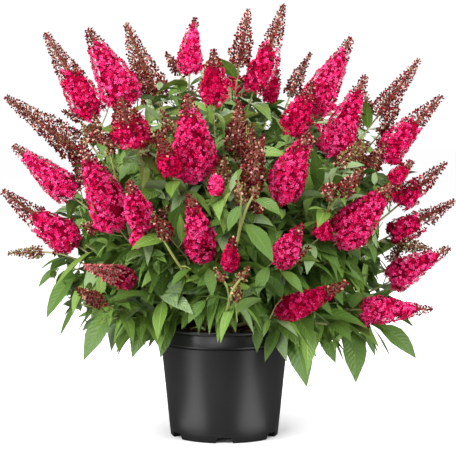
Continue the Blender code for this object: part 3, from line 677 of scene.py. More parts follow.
# flower heads
headShape = {
    "outline": ((0.0, 0.08, 0.18, 0.30, 0.45, 0.60, 0.75, 0.88, 1.0),
                (0.66, 0.92, 1.0, 0.93, 0.78, 0.61, 0.44, 0.29, 0.14)),
    "bend": 0.03, "openFrom": 0.2, "fuzz": 0.06,
    "openArea": 0.000125, "capRadius": 0.0062, "capHeight": 0.0030, "openEach": 4, "floret": 0.0043,
    "openDepth": (0.86, 1.0), "floretStray": 0.45, "sizes": (0.82, 1.15),
    "cymeTip": 0.0054, "cymeFoot": 0.0160, "cymeBuds": 3.1, "cymeSpread": 0.385, "cymeCover": 0.74,
    "tierGap": 1.12, "firstTier": 0.985, "darkBuds": 0.70, "strayBuds": 0.35,
    "innerArea": 0.000120, "innerDepth": (0.25, 0.68), "bud": 0.0045, "innerBud": 0.0036,
    "budCore": 0.22, "core": 0.72, "tipBuds": 7,
    "lobeGirth": 0.056, "lobeLength": (0.36, 0.52), "lobeWidth": (0.32, 0.42),
    "sideLength": (0.035, 0.070), "sideGirth": (0.024, 0.034), "sideChance": 0.46, "sideClimb": 0.45,
    "sideDrop": (0.015, 0.045), "sideLean": (0.7, 1.3), "sideStalk": (0.012, 0.030),
}
florets = {"spot": [], "way": [], "size": [], "tint": []}
buds = {"spot": [], "way": [], "size": [], "tint": []}
cores = []
headSpans = []                           # base, tip and girth of each head, so that leaves keep clear
clearing = {"girth": 0.045, "outer": 0.14, "front": 0.30, "frontDepth": 0.10, "room": 0.80, "margin": 0.004}


def largeHeads():
    spans = []
    for _, rows in masses.values():
        for bearing, rise, reach, length, girth, lean, swing, _ in rows:
            if girth > clearing["girth"]:
                end = heart + heading(bearing, rise) * reach
                spans.append((end - heading(bearing + swing, rise + lean) * length, end, girth))
    return spans


clearSpans = largeHeads()


def insideHead(lines, base, end, girth, room, margin=0.0):
    axis = end - base
    away = lines - base
    share = np.clip((away @ axis) / (axis @ axis), 0, 1)
    gap = np.linalg.norm(away - share[..., None] * axis, axis=2)
    return (gap < girth / 2 * np.interp(share, *headShape["outline"]) * room + margin).any(axis=1)


def hidesHead(lines):
    # whether a run of points crosses the outer side or the front of a large head
    hides = np.zeros(len(lines), bool)
    for base, end, girth in clearSpans:
        middle = (base + end) / 2
        sides = [(unit(middle * (1.0, 1.0, 0.4)), clearing["outer"])]
        if middle[1] < clearing["frontDepth"]:
            sides.append((unit(np.array(view["place"]) - middle), clearing["front"]))
        for way, reach in sides:
            moved = lines - np.clip((lines - base) @ way, 0, reach)[..., None] * way
            hides |= insideHead(moved, base, end, girth, clearing["room"], clearing["margin"])
    return hides


def headHides(base, tip):
    return hidesHead(np.linspace(base, tip, 5)[None])[0]


def drop(store, *row):
    for values, value in zip(store.values(), row):
        values.append(value)


def aroundAxis(axis):
    guide = np.array((1.0, 0.0, 0.0)) if abs(axis[2]) > 0.9 else np.array((0.0, 0.0, 1.0))
    first = unit(np.cross(guide, axis))
    return first, np.cross(axis, first)


def pick(dice, shares):
    return dice.choices(range(len(shares)), shares)[0]


def stray(dice, amount):
    return np.array([dice.uniform(-amount, amount) for _ in range(3)])


def growCluster(centre, out, radius, look, size, dice):
    first, second = aroundAxis(out)
    start = dice.uniform(0, math.tau)
    count = headShape["openEach"]
    for each in range(count):
        share = math.sqrt((each + 0.5) / count)
        turn = start + goldenTurn * each
        flat = radial(first, second, turn)
        spot = centre + flat * radius * share + out * headShape["capHeight"] * (1 - share ** 2)
        way = unit(out + flat * share * 0.8 + stray(dice, headShape["floretStray"]))
        tint = pick(dice, look["petals"])
        drop(florets, spot + out * dice.uniform(-0.001, 0.001), way,
             headShape["floret"] * size * dice.uniform(*headShape["sizes"]), tint)
    if dice.random() > headShape["strayBuds"]:
        return
    flat = radial(first, second, start + 1.0)
    spot = centre + flat * radius * 0.95 + out * dice.uniform(0.0, 0.002)
    drop(buds, spot, unit(out + flat * 0.5), headShape["bud"] * size * 0.85, pick(dice, look["buds"]))


def growHead(base, tip, girth, lookName, dice, isLobe=False):
    look = headLooks[lookName]
    length = np.linalg.norm(tip - base)
    axis = (tip - base) / length
    first, second = aroundAxis(axis)
    crook = headShape["bend"]
    bend = first * dice.uniform(-crook, crook) + second * dice.uniform(-crook, crook)
    shares = np.linspace(0, 1, 80)
    width = np.interp(shares, *headShape["outline"])
    total = np.cumsum(width) / width.sum()
    area = math.pi * girth * length * width.mean()
    scale = min(1.05, max(0.66, 0.5 + girth / 0.12))
    spin = dice.uniform(0, math.tau)

    def spotAt(share, angle, depth):
        out = radial(first, second, angle)
        middle = base + axis * length * share + bend * math.sin(share * math.pi) * length
        return middle, out, middle + out * girth / 2 * float(np.interp(share, shares, width)) * depth

    isOpen = look["open"] > headShape["openFrom"]
    fuzz = headShape["fuzz"] + 0.5 * look["gaps"]
    count = int(area / (headShape["openArea"] * scale ** 2)) + 6
    for number in range(count if isOpen else 0):
        share = float(np.interp((number + 0.5) / count, total, shares))
        if share > look["open"] + dice.uniform(-fuzz, fuzz) or dice.random() < look["gaps"]:
            continue
        angle = spin + number * goldenTurn + dice.uniform(-0.25, 0.25)
        middle, out, spot = spotAt(share, angle, dice.uniform(*headShape["openDepth"]))
        radius = min(headShape["capRadius"] * scale * (1.1 - 0.4 * share), girth * 0.3)
        growCluster(spot - out * headShape["capHeight"] * 0.5, unit(out + axis * (0.1 + 0.45 * share)),
                    radius, look, 1.05 - 0.18 * share, dice)
    share, tier = headShape["firstTier"], 0
    while share > 0.0:                   # tiers of round bunches of buds, closing up toward the tip
        gap = headShape["cymeTip"] + headShape["cymeFoot"] * (1 - share) * min(1.2, girth / 0.07)
        spread = headShape["cymeSpread"] * gap
        rim = math.pi * girth * float(np.interp(share, shares, width))
        around = max(3, int(rim * headShape["cymeCover"] / gap + 0.5))
        for number in range(around):
            if share < look["open"] + dice.uniform(-fuzz, fuzz) and isOpen:
                continue
            angle = spin + (number + 0.5 * (tier % 2)) * math.tau / around + dice.uniform(-0.15, 0.15)
            height = max(0.0, share + dice.uniform(-0.15, 0.15) * gap / length)
            middle, out, centre = spotAt(height, angle, 1.0 + look["lumps"] * dice.uniform(-0.8, 0.5))
            way = unit(out + axis * (0.20 + 0.40 * share))
            centre = centre - way * spread * 0.8
            left, right = aroundAxis(way)
            turn = dice.uniform(0, math.tau)
            bunch = 1 + int(headShape["cymeBuds"] * (spread / 0.004) ** 2 * dice.uniform(0.8, 1.2))
            for each in range(bunch):
                tilt = 1.5 * math.sqrt((each + 0.5) / bunch) if bunch > 1 else 0.0
                turn += goldenTurn
                facing = way * math.cos(tilt) + radial(left, right, turn) * math.sin(tilt)
                isDark = dice.random() < headShape["darkBuds"]
                tint = pick(dice, look["buds" if isDark else "inner"])
                size = headShape["bud"] * (1.04 - 0.30 * share) * dice.uniform(*headShape["sizes"])
                spot = centre + facing * spread * dice.uniform(0.75, 1.05)
                drop(buds, spot, unit(facing + stray(dice, 0.15)), size, tint)
            limb([middle - axis * 0.007, centre], "bunch", redStalk, "pedicel")
        share -= headShape["tierGap"] * gap / length
        tier += 1
    count = int(area / headShape["innerArea"])
    for number in range(count):
        share = float(np.interp((number + 0.5) / count, total, shares))
        if share < look["open"] + dice.uniform(-fuzz, fuzz) and isOpen:
            continue
        middle, out, spot = spotAt(share, spin + number * goldenTurn, dice.uniform(*headShape["innerDepth"]))
        tint = pick(dice, look["inner"])
        size = headShape["innerBud"] * (1.06 - 0.34 * share)
        drop(buds, spot, unit(out + axis * 0.3 + stray(dice, 0.25)), size, tint)
    for _ in range(headShape["tipBuds"]):
        drop(buds, tip + axis * dice.uniform(-0.008, 0.0) + stray(dice, 0.0018), unit(axis + stray(dice, 0.35)),
             headShape["bud"] * 0.7, pick(dice, look["buds"]))
    run = [base + axis * length * s + bend * math.sin(s * math.pi) * length for s in np.linspace(0, 0.98, 6)]
    limb(run, "head", redStalk, "stalk")
    if isOpen:
        cores.append((base, axis, 0.0, min(0.95, look["open"] + 0.03), girth * headShape["core"], length, 0))
    cores.append((base, axis, max(0.0, look["open"] - 0.03), 0.97, girth * headShape["budCore"], length, 1))
    headSpans.append((base, tip, girth))
    if isLobe or girth < headShape["lobeGirth"] or not isOpen:
        return
    for number in range(dice.choice((2, 3, 3, 4))):
        angle = spin + number * 2.2 + dice.uniform(-0.4, 0.4)
        out = radial(first, second, angle)
        root = base + axis * length * dice.uniform(0.02, 0.12) + out * girth * 0.14
        way = unit(out + axis * dice.uniform(-0.1, 0.5))
        reach = girth * dice.uniform(*headShape["lobeLength"])
        lobeLook = "bright" if look["petals"][0] > 0.2 else "crimson"
        growHead(root, root + way * reach, girth * dice.uniform(*headShape["lobeWidth"]), lobeLook, dice, True)


def growSideHeads(base, axis, girth, dice):
    # a pair of younger heads stands beside the foot of the main one
    first, second = aroundAxis(axis)
    turn = dice.uniform(0, math.pi)
    for half in (0.0, math.pi):
        if dice.random() > headShape["sideChance"] or axis[2] < headShape["sideClimb"]:
            continue
        out = radial(first, second, turn + half)
        root = base - axis * dice.uniform(*headShape["sideDrop"])
        way = unit(axis + out * dice.uniform(*headShape["sideLean"]))
        foot = root + way * (girth * 0.35 + dice.uniform(*headShape["sideStalk"]))
        reach = dice.uniform(*headShape["sideLength"])
        if headHides(foot, foot + way * reach):
            continue
        lookName = dice.choices(("brown", "green", "crimson", "loose"), (0.50, 0.18, 0.14, 0.18))[0]
        limb([root, root * 0.5 + foot * 0.5 + out * 0.003, foot], "beside", greenStalk, "twig")
        growHead(foot, foot + way * reach, dice.uniform(*headShape["sideGirth"]), lookName, dice, True)


shadeCoreShape = {"sides": 9, "rings": 8, "end": 0.35, "rough": (0.82, 1.12)}


def coreMesh():
    # dark cones inside every head fill the gaps between florets and buds: the petal cones are painted shade, the bud
    # cones painted shade tinted with the brown of the inner stalks
    points, faces, tints = [], [], []
    sides, rings = shadeCoreShape["sides"], shadeCoreShape["rings"]
    for number, (base, axis, low, high, girth, length, tint) in enumerate(cores):
        first, second = aroundAxis(axis)
        for ring in range(rings):
            share = low + (high - low) * ring / (rings - 1)
            width = girth / 2 * np.interp(share, *headShape["outline"])
            if ring in (0, rings - 1):
                width *= shadeCoreShape["end"]
            for side in range(sides):
                angle = math.tau * side / sides
                rough = chance.uniform(*shadeCoreShape["rough"])
                points.append(base + axis * length * share + radial(first, second, angle) * width * rough)
        start = number * sides * rings
        for ring in range(rings - 1):
            for side in range(sides):
                a = start + ring * sides + side
                b = start + ring * sides + (side + 1) % sides
                faces.append((a, b, b + sides, a + sides))
                tints.append(tint)
    skins = [makePetal("petalShade", (0.27, 0.003, 0.028), 0.8), makePetal("budShade", (0.22, 0.085, 0.062), 0.8)]
    piece = arrayMesh("blossomShadeCores", np.array(points), np.array(faces), np.array(tints), skins, True)
    settle(piece, massNodes)


def petalShape():
    # four rounded petals of two triangles each, then a short pointed tube
    points, faces = [], []
    for petal in range(4):
        angle = petal * math.pi / 2
        out = np.array((math.cos(angle), math.sin(angle), 0.0))
        side = np.array((-math.sin(angle), math.cos(angle), 0.0))
        start = len(points)
        for far, aside, up in ((0.04, 0.0, 0.0), (0.74, -0.44, 0.10), (1.02, 0.0, -0.02), (0.74, 0.44, 0.10)):
            points.append(out * far + side * aside + upward * up)
        faces += [(start, start + 1, start + 2), (start, start + 2, start + 3)]
    start = len(points)
    for side in range(3):
        angle = side * math.tau / 3
        points.append(np.array((math.cos(angle) * 0.18, math.sin(angle) * 0.18, 0.01)))
    points.append(np.array((0.0, 0.0, -1.3)))
    faces += [(start + 3, start + (side + 1) % 3, start + side) for side in range(3)]
    return np.array(points), np.array(faces)


def budShape():
    points = [np.array((0.0, 0.0, -0.5))]
    for turn in range(4):
        angle = turn * math.pi / 2
        points.append(np.array((math.cos(angle) * 0.62, math.sin(angle) * 0.62, 0.46)))
    points.append(np.array((0.0, 0.0, 1.25)))
    faces = []
    for side in range(4):
        following = (side + 1) % 4
        faces += [(0, 1 + following, 1 + side), (5, 1 + side, 1 + following)]
    return np.array(points), np.array(faces)


pieceCounts = {"florets": 17500, "buds": 23000}         # the most in one piece


def scatterPieces(label, store, shape, faces, skins, throatShadeTint=None, petalFaces=0):
    spots, ways, sizes, tints = (np.array(values) for values in store.values())
    limit = pieceCounts[label]
    groups = max(1, math.ceil(len(spots) / limit))
    order = np.argsort(np.arctan2(spots[:, 1], spots[:, 0]), kind="stable")
    for number, part in enumerate(np.array_split(order, groups)):
        places = placed(shape, spots[part], ways[part], spray.uniform(0, math.tau, len(part)), sizes[part])
        faceTints = np.repeat(tints[part][:, None], len(faces), axis=1)
        if throatShadeTint is not None:
            # the tube faces take the deepest petal tint, a painted shade in each floret's throat
            faceTints[:, petalFaces:] = throatShadeTint
            for petal in range(0, petalFaces, 2):        # a few petals are a shade deeper than their floret
                deeper = spray.random(len(part)) < 0.20
                pair = faceTints[deeper, petal:petal + 2]
                faceTints[deeper, petal:petal + 2] = np.minimum(pair + 1, throatShadeTint)
        settle(stampMesh(f"{label}_{number + 1}", places, faces, skins, faceTints), massNodes)
    print(label, len(spots))


# leaves
leafForm = {
    "stations": (0.0, 0.05, 0.14, 0.28, 0.45, 0.63, 0.81, 1.0),
    "halfWidths": (0.05, 0.09, 0.58, 0.92, 1.0, 0.82, 0.45, 0.03),
    "across": (-1.0, -0.5, -0.05, 0.05, 0.5, 1.0),
    "fold": 0.36, "curl": 0.22, "width": 0.178, "widths": (0.82, 1.15), "ripple": 0.05, "heldWidth": 1.1,
    "lowest": 0.130, "frontLowest": 0.250, "frontHalf": 0.118, "skirtStart": 0.27, "skirtSlope": (1.0, 0.6),
    "potRoom": (0.006, 0.004), "headRoom": 0.9, "boxRoom": 0.008,
    "tintHeights": (0.24, 0.42, 0.64), "pieceTriangles": 190000,
}
leaves = {"root": [], "way": [], "length": [], "droop": [], "roll": [], "shadeChance": [], "held": []}


def addLeaf(root, way, length, droop, roll, shadeChance, held=False):
    drop(leaves, root, way, length, droop, roll, shadeChance, held)


def leafLines():
    # the midrib of every leaf, bending down under its weight, with its sideways direction
    roots, ways = np.array(leaves["root"]), unit(np.array(leaves["way"]))
    lengths, droops = np.array(leaves["length"]), np.array(leaves["droop"])
    stations = np.array(leafForm["stations"])
    level = unit(ways * (1.0, 1.0, 0.0) + 1e-6)
    sides = np.stack([level[:, 1], -level[:, 0], np.zeros(len(level))], axis=1)
    line, heads, way = [roots], [ways], ways
    for step in range(1, len(stations)):
        span = stations[step] - stations[step - 1]
        weight = np.linalg.norm(way[:, :2], axis=1)
        way = unit(way - upward * (droops * span * (0.25 + weight))[:, None])
        line.append(line[-1] + way * (lengths * span)[:, None])
        heads.append(way)
    return np.stack(line, axis=1), np.stack(heads, axis=1), sides


def belowSkirt(tips):
    # the lowest leaves end on a skirt that climbs outward, more steeply on the left
    spread = np.linalg.norm(tips[:, :2], axis=1)
    facing = (np.abs(tips[:, 0]) < leafForm["frontHalf"]) & (tips[:, 1] < 0)
    steady, swing = leafForm["skirtSlope"]
    slope = steady - swing * tips[:, 0] / np.maximum(spread, 0.01)
    floor = leafForm["lowest"] + np.maximum(0.0, spread - leafForm["skirtStart"]) * slope
    return (tips[:, 2] < floor) | (facing & (tips[:, 2] < leafForm["frontLowest"]))


def keptLeaves(line):
    flat = np.linalg.norm(line[:, :, :2], axis=2)
    beside, above = leafForm["potRoom"]
    inPot = ((flat < pot["rim"] + beside) & (line[:, :, 2] < pot["height"] + above)).any(axis=1)
    tooLow = belowSkirt(line[:, -1])
    inHead = hidesHead(line)
    for base, end, girth in headSpans:
        inHead |= insideHead(line, base, end, girth, leafForm["headRoom"])
    low, high = np.array(cadBox[0]) - leafForm["boxRoom"], np.array(cadBox[1]) + leafForm["boxRoom"]
    outside = ((line < low) | (line > high)).any(axis=(1, 2))
    held = np.array(leaves["held"])
    return held | ~(inPot | tooLow | inHead | outside)


ownStalk = {"gap": 0.007, "steps": 8, "bow": 0.12, "share": 0.4}


def joinLeaves(roots):
    # a leaf that grows clear of every limb gets a stalk of its own from the nearest one
    runs = [points for points, _, _, kind in limbRuns if kind in ("cane", "twig")]
    steps = ownStalk["steps"]
    spots = []
    for points in runs:
        for start, end in zip(points, points[1:]):
            spots += [start + (end - start) * step / steps for step in range(steps)]
        spots.append(points[-1])
    finder = KDTree(len(spots))
    for number, spot in enumerate(spots):
        finder.insert(spot, number)
    finder.balance()
    count = 0
    for root in roots:
        foot, _, gap = finder.find(root)
        if gap > ownStalk["gap"]:
            foot = np.array(foot)
            middle = (foot + root) / 2 + (0, 0, gap * ownStalk["bow"])
            limb([foot, middle, root], "leaf", greenStalk, "twig")
            count += 1
    print("leaf stalks", count)


def leafPieces():
    line, heads, sides = leafLines()
    keep = keptLeaves(line)
    line, heads, sides = line[keep], heads[keep], sides[keep]
    joinLeaves(line[:, 0] + (line[:, 1] - line[:, 0]) * ownStalk["share"])
    lengths, rolls, shadeChances, held = (np.array(leaves[name])[keep] for name in ("length", "roll", "shadeChance", "held"))
    up = unit(np.cross(sides[:, None], heads))
    sideways = np.broadcast_to(sides[:, None], heads.shape)
    turn = rolls[:, None, None] * np.array(leafForm["stations"])[None, :, None] ** 0.5
    across = sideways * np.cos(turn) + up * np.sin(turn)
    above = np.cross(across, heads)
    half = np.array(leafForm["halfWidths"])
    x = np.array(leafForm["across"])
    width = lengths * leafForm["width"] * spray.uniform(*leafForm["widths"], len(lengths))
    width = width * np.where(held, leafForm["heldWidth"], 1.0)
    ripple = 1 + spray.uniform(-leafForm["ripple"], leafForm["ripple"], (len(lengths), len(half), 1))
    offset = width[:, None, None] * half[None, :, None] * x[None, None] * ripple
    lift = width[:, None, None] * half[None, :, None]
    lift = lift * (leafForm["fold"] * np.abs(x) - leafForm["curl"] * x ** 2)[None, None]
    points = line[:, :, None] + across[:, :, None] * offset[..., None] + above[:, :, None] * lift[..., None]
    rows, cols = len(half), len(x)
    points = points.reshape(len(lengths), rows * cols, 3)
    faces, ribs = [], []
    for row in range(rows - 1):
        for col in range(cols - 1):
            a = row * cols + col
            faces.append((a, a + 1, a + cols + 1, a + cols))
            ribs.append(col == 2 or row == 0)
    faces, ribs = np.array(faces), np.array(ribs)
    blade = np.array([(value, station) for station in leafForm["stations"] for value in x])
    count = len(lengths)
    levels = np.array([shares for _, _, shares in leafTints.values()])
    heights = line[:, 0, 2]
    shares = np.stack([np.interp(heights, leafForm["tintHeights"], row) for row in levels], axis=1)
    tint = (np.cumsum(shares, axis=1) < spray.uniform(0, 1, (count, 1))).sum(axis=1).clip(0, len(levels) - 1)
    # leaves with a high shade chance take the deep green and the dull rib: a painted shade on leaves inside the bush
    # and on the hanging ones
    deep = list(leafTints).index("leafShaded")
    tint = np.where(held, list(leafTints).index("leafMid"), tint)
    tint = np.where(shadeChances > spray.uniform(0, 1, count), deep, tint)
    ribTint = np.where(tint == deep, len(levels) + 1, len(levels))
    everyTint = np.where(ribs[None], ribTint[:, None], tint[:, None])
    groups = max(1, math.ceil(count * len(faces) * 2 / leafForm["pieceTriangles"]))
    order = np.argsort(np.arctan2(line[:, 0, 1], line[:, 0, 0]), kind="stable")
    for number, part in enumerate(np.array_split(order, groups)):
        skins = leafSkins + ribSkins
        piece = stampMesh(f"leaves_{number + 1}", points[part], faces, skins, everyTint[part], True, blade)
        settle(piece, massNodes)
    print("leaves", count, "of", len(keep))


def leafPair(spot, along, size, droop, turn, shadeChance, dice):
    first, second = aroundAxis(along)
    for half in (0.0, math.pi):
        spread = math.radians(dice.uniform(*growth["leafSpread"]))
        angle = turn + half + dice.uniform(-0.3, 0.3)
        out = radial(first, second, angle)
        way = along * math.cos(spread) + out * math.sin(spread)
        way = unit(way * (1.0, 1.0, 0.7) + upward * growth["leafLift"])
        length, bend, roll = (dice.uniform(*growth[name]) for name in ("leafSizes", "leafDroops", "leafRolls"))
        addLeaf(spot, way, size * length, droop * bend, roll, shadeChance)


# shoots
growth = {
    "leafGap": 0.034, "leafLength": 0.126, "leafSpread": (44, 76), "leafLift": 0.12,
    "leafSizes": (0.80, 1.15), "leafDroops": (0.3, 1.6), "leafRolls": (-1.1, 1.1),
    "lowDroop": 0.95, "highDroop": 0.85, "steepRise": 60, "steepSides": 0.30,
    "sideChance": 0.36, "sideLength": (0.05, 0.11), "sideSpread": (30, 50),
    "youngShoots": 30, "youngRise": (0.60, 0.98), "youngReach": (0.38, 0.46), "youngClimb": 0.10,
    "youngLength": (0.045, 0.085), "youngGirth": (0.024, 0.036), "youngStart": 0.16,
    "innerShoots": 112, "innerRise": (0.10, 0.97), "innerReach": (0.20, 0.38), "innerClimb": 0.17,
    "innerEnd": 0.88, "lowShoots": 26, "lowRise": (0.10, 0.30), "lowReach": (0.16, 0.25),
    # inner shoots that end higher take the deep green more often: a painted shade inside the crown
    "shadeHeights": (0.24, 0.44), "shadeChances": (0.05, 0.78), "turn": 137.5,
}


def leafyRun(points, length, first, last, sizeAt, droop, shadeChance, dice, sideChance):
    pairs = max(2, int(length * (last - first) / growth["leafGap"]))
    turn = dice.uniform(0, math.pi)
    for pair in range(pairs):
        share = first + (last - first) * (pair + 0.5) / pairs
        spot = curveAt(points, share)
        along = curveRun(points, share)
        size = sizeAt(share) * growth["leafLength"]
        leafPair(spot, along, size, droop, turn + pair * math.pi / 2, shadeChance, dice)
        if dice.random() < sideChance and 0.15 < share < 0.9:
            sideShoot(spot, along, turn + pair * math.pi / 2 + 0.6, droop, shadeChance, dice)


def sideShoot(spot, along, turn, droop, shadeChance, dice):
    first, second = aroundAxis(along)
    out = radial(first, second, turn)
    spread = math.radians(dice.uniform(*growth["sideSpread"]))
    way = unit(along * math.cos(spread) + out * math.sin(spread) + upward * 0.25)
    length = dice.uniform(*growth["sideLength"])
    end = spot + way * length + upward * 0.01
    points = [spot, spot + way * length / 3, spot + way * length * 2 / 3, end]
    if headHides(points[1], points[3]):
        return
    limb(curveAt(points, np.linspace(0, 1, 4)), "side", greenStalk, "twig")
    pairs = 2 + int(length / 0.04)
    start = dice.uniform(0, math.pi)
    for pair in range(pairs):
        share = (pair + 1) / pairs
        size = growth["leafLength"] * (0.78 - 0.42 * share)
        turn = start + pair * math.pi / 2
        leafPair(curveAt(points, share), curveRun(points, share), size, droop * 0.8, turn, shadeChance, dice)


def growMass(number, name, tier, rows):
    dice = random.Random(100 + number)
    aim = aims[name]
    tip = heart + aim * bush["caneReach"]
    level = np.array((aim[0], aim[1], 0.0))
    level = unit(level) if np.linalg.norm(level) > 0.2 else level * 0
    ground = upward * soilTop
    if tier < 4:
        root = ground + level * bush["rootRing"] + upward * bush["tierHeights"][tier]
        lead = level
    else:
        root = ground + level * bush["topRing"] + upward * bush["topRise"]
        lead = upward
    cane = (root, root + lead * bush["caneLead"], tip - aim * bush["caneReach"] / 3, tip)
    limb(curveAt(cane, np.linspace(0, 1, 9)), "cane", 0, "cane")
    main = None
    for order, row in enumerate(sorted(rows, key=lambda row: -row[2])):
        bearing, rise, reach, length, girth, lean, swing, look = row
        end = heart + heading(bearing, rise) * reach
        base = end - heading(bearing + swing, rise + lean) * length
        along = heading(bearing + swing, rise + lean) if length else heading(bearing, rise)
        if order == 0:
            span = np.linalg.norm(base - tip)
            points = (tip, tip + aim * span * 0.35, base - along * span * 0.35, base)
            main = points
            size = "main"
        else:
            share = bush["firstFork"] + bush["forkStep"] * order
            fork = curveAt(main, share)
            span = np.linalg.norm(base - fork)
            points = (fork, fork + curveRun(main, 0.1) * span * 0.25, base - along * span * 0.35, base)
            size = "fork"
        stop = 1.0 if length else bush["bareEnd"]
        if not length and headHides(curveAt(points, bush["hiddenEnd"]), end):
            stop = bush["hiddenEnd"]
        limb(curveAt(points, np.linspace(0, stop, 14)), size, 1, "cane")
        if length:
            growHead(base, end, girth, look, dice)
            growSideHeads(base, along, girth, dice)
        steep = min(1.0, max(0.0, rise / growth["steepRise"]))
        droop = growth["lowDroop"] + (growth["highDroop"] - growth["lowDroop"]) * steep
        reachOut = np.linalg.norm(base - points[0])
        last = 0.97 if length else 1.0
        sizeAt = lambda share: 1.02 - 0.32 * max(0.0, share - 0.45) / 0.55
        sideChance = growth["sideChance"] + growth["steepSides"] * steep
        leafyRun(points, reachOut, 0.06, last, sizeAt, droop, 0.08, dice, sideChance)


def shootTo(base, tip, girth, lookName, dice):
    way = unit(base - heart)
    reach = np.linalg.norm(base - heart)
    start = heart + way * growth["youngStart"]
    points = (start, start + unit(way + upward * 0.5) * reach * 0.25, base - way * reach * 0.25, base)
    limb(curveAt(points, np.linspace(0, 1, 8)), "young", 1, "cane")
    leafyRun(points, reach, 0.35, 1.0, lambda share: 1.0 - 0.42 * share, 0.9, 0.10, dice, 0.25)
    growHead(base, tip, girth, lookName, dice, True)


def growYoung():
    # shoots behind the front ones, each ending in a small head in bud
    dice = random.Random(31)
    for number in range(growth["youngShoots"]):
        bearing = number * growth["turn"] + dice.uniform(-14, 14)
        rise = math.degrees(math.asin(dice.uniform(*growth["youngRise"])))
        reach = dice.uniform(*growth["youngReach"]) + growth["youngClimb"] * math.sin(math.radians(rise))
        base = heart + heading(bearing, rise) * reach
        lookName = dice.choices(("brown", "green", "loose", "crimson"), (0.46, 0.26, 0.18, 0.10))[0]
        lean = unit(heading(bearing, rise) + stray(dice, 0.25) + upward * 0.25)
        tip = base + lean * dice.uniform(*growth["youngLength"])
        if not headHides(base, tip):
            shootTo(base, tip, dice.uniform(*growth["youngGirth"]), lookName, dice)
    for base, tip, girth, lookName in smallHeads:
        shootTo(np.array(base), np.array(tip), girth, lookName, dice)


def growInner():
    dice = random.Random(77)
    for number in range(growth["innerShoots"]):
        bearing = number * growth["turn"] + dice.uniform(-12, 12)
        isLow = number < growth["lowShoots"]
        rise = math.degrees(math.asin(dice.uniform(*growth["lowRise" if isLow else "innerRise"])))
        reach = dice.uniform(*growth["lowReach" if isLow else "innerReach"])
        reach += growth["innerClimb"] * math.sin(math.radians(rise)) ** 2
        way = heading(bearing, rise)
        start = heart + np.array((way[0] * 0.012, way[1] * 0.012, dice.uniform(0.0, 0.04)))
        end = heart + way * reach + upward * 0.02
        points = (start, start + unit(way + upward * 0.8) * reach * 0.35, end - way * reach * 0.3, end)
        if headHides(points[2], end) or (reach > 0.25 and belowSkirt(end[None] - upward * 0.05)[0]):
            continue
        limb(curveAt(points, np.linspace(0, growth["innerEnd"], 8)), "inner", 1, "cane")
        shadeChance = float(np.interp(end[2], growth["shadeHeights"], growth["shadeChances"]))
        leafyRun(points, reach, 0.30, 1.0, lambda share: 0.95 - 0.25 * share, 1.1, shadeChance, dice, 0.15)


# smaller heads between the main ones: foot, tip, girth, look
smallHeads = (
    ((-0.167, -0.35, 0.447), (-0.173, -0.375, 0.490), 0.034, "bright"),
    ((-0.016, -0.40, 0.553), (-0.018, -0.42, 0.597), 0.034, "bright"),
    ((0.194, -0.30, 0.457), (0.204, -0.32, 0.508), 0.040, "crimson"),
    ((0.024, -0.42, 0.342), (0.025, -0.44, 0.396), 0.022, "green"),
    ((-0.159, -0.26, 0.608), (-0.160, -0.27, 0.648), 0.022, "green"),
    ((0.034, -0.39, 0.528), (0.032, -0.41, 0.570), 0.024, "green"),
    ((-0.262, -0.17, 0.640), (-0.268, -0.18, 0.700), 0.030, "brown"),
)

# stems that show between the leaves
bareStems = (
    ((0.018, -0.300, 0.400), (0.025, -0.405, 0.456), (0.038, -0.425, 0.524), (0.031, -0.425, 0.550)),
    ((0.025, -0.405, 0.456), (0.036, -0.430, 0.515), (0.048, -0.425, 0.532), (0.056, -0.420, 0.548)),
    ((-0.060, -0.300, 0.360), (-0.090, -0.395, 0.408), (-0.118, -0.400, 0.452), (-0.134, -0.390, 0.492)),
    ((0.004, -0.340, 0.310), (0.013, -0.420, 0.343), (0.011, -0.435, 0.366), (-0.003, -0.440, 0.386)),
    ((0.012, -0.425, 0.350), (0.016, -0.440, 0.368), (0.026, -0.442, 0.380), (0.032, -0.440, 0.388)),
    ((-0.190, -0.220, 0.480), (-0.205, -0.300, 0.540), (-0.218, -0.310, 0.580), (-0.226, -0.310, 0.620)),
)


stemForm = {"budLength": 0.026, "budGirth": 0.018, "clearShares": (0.35, 0.6, 0.85), "clearHalf": 0.015}


def growBareStems():
    for points in bareStems:
        points = [np.array(point) for point in points]
        limb(curveAt(points, np.linspace(0, 1, 8)), "bare", greenStalk, "twig")
        end, before = points[-1], points[-2]
        bud = end + unit(end - before) * stemForm["budLength"]
        growHead(end, bud, stemForm["budGirth"], "green", chance, True)
        for share in stemForm["clearShares"]:
            spot = curveAt(points, share)
            half = upward * stemForm["clearHalf"]
            clearSpans.append((spot - half, spot + half, clearing["girth"]))


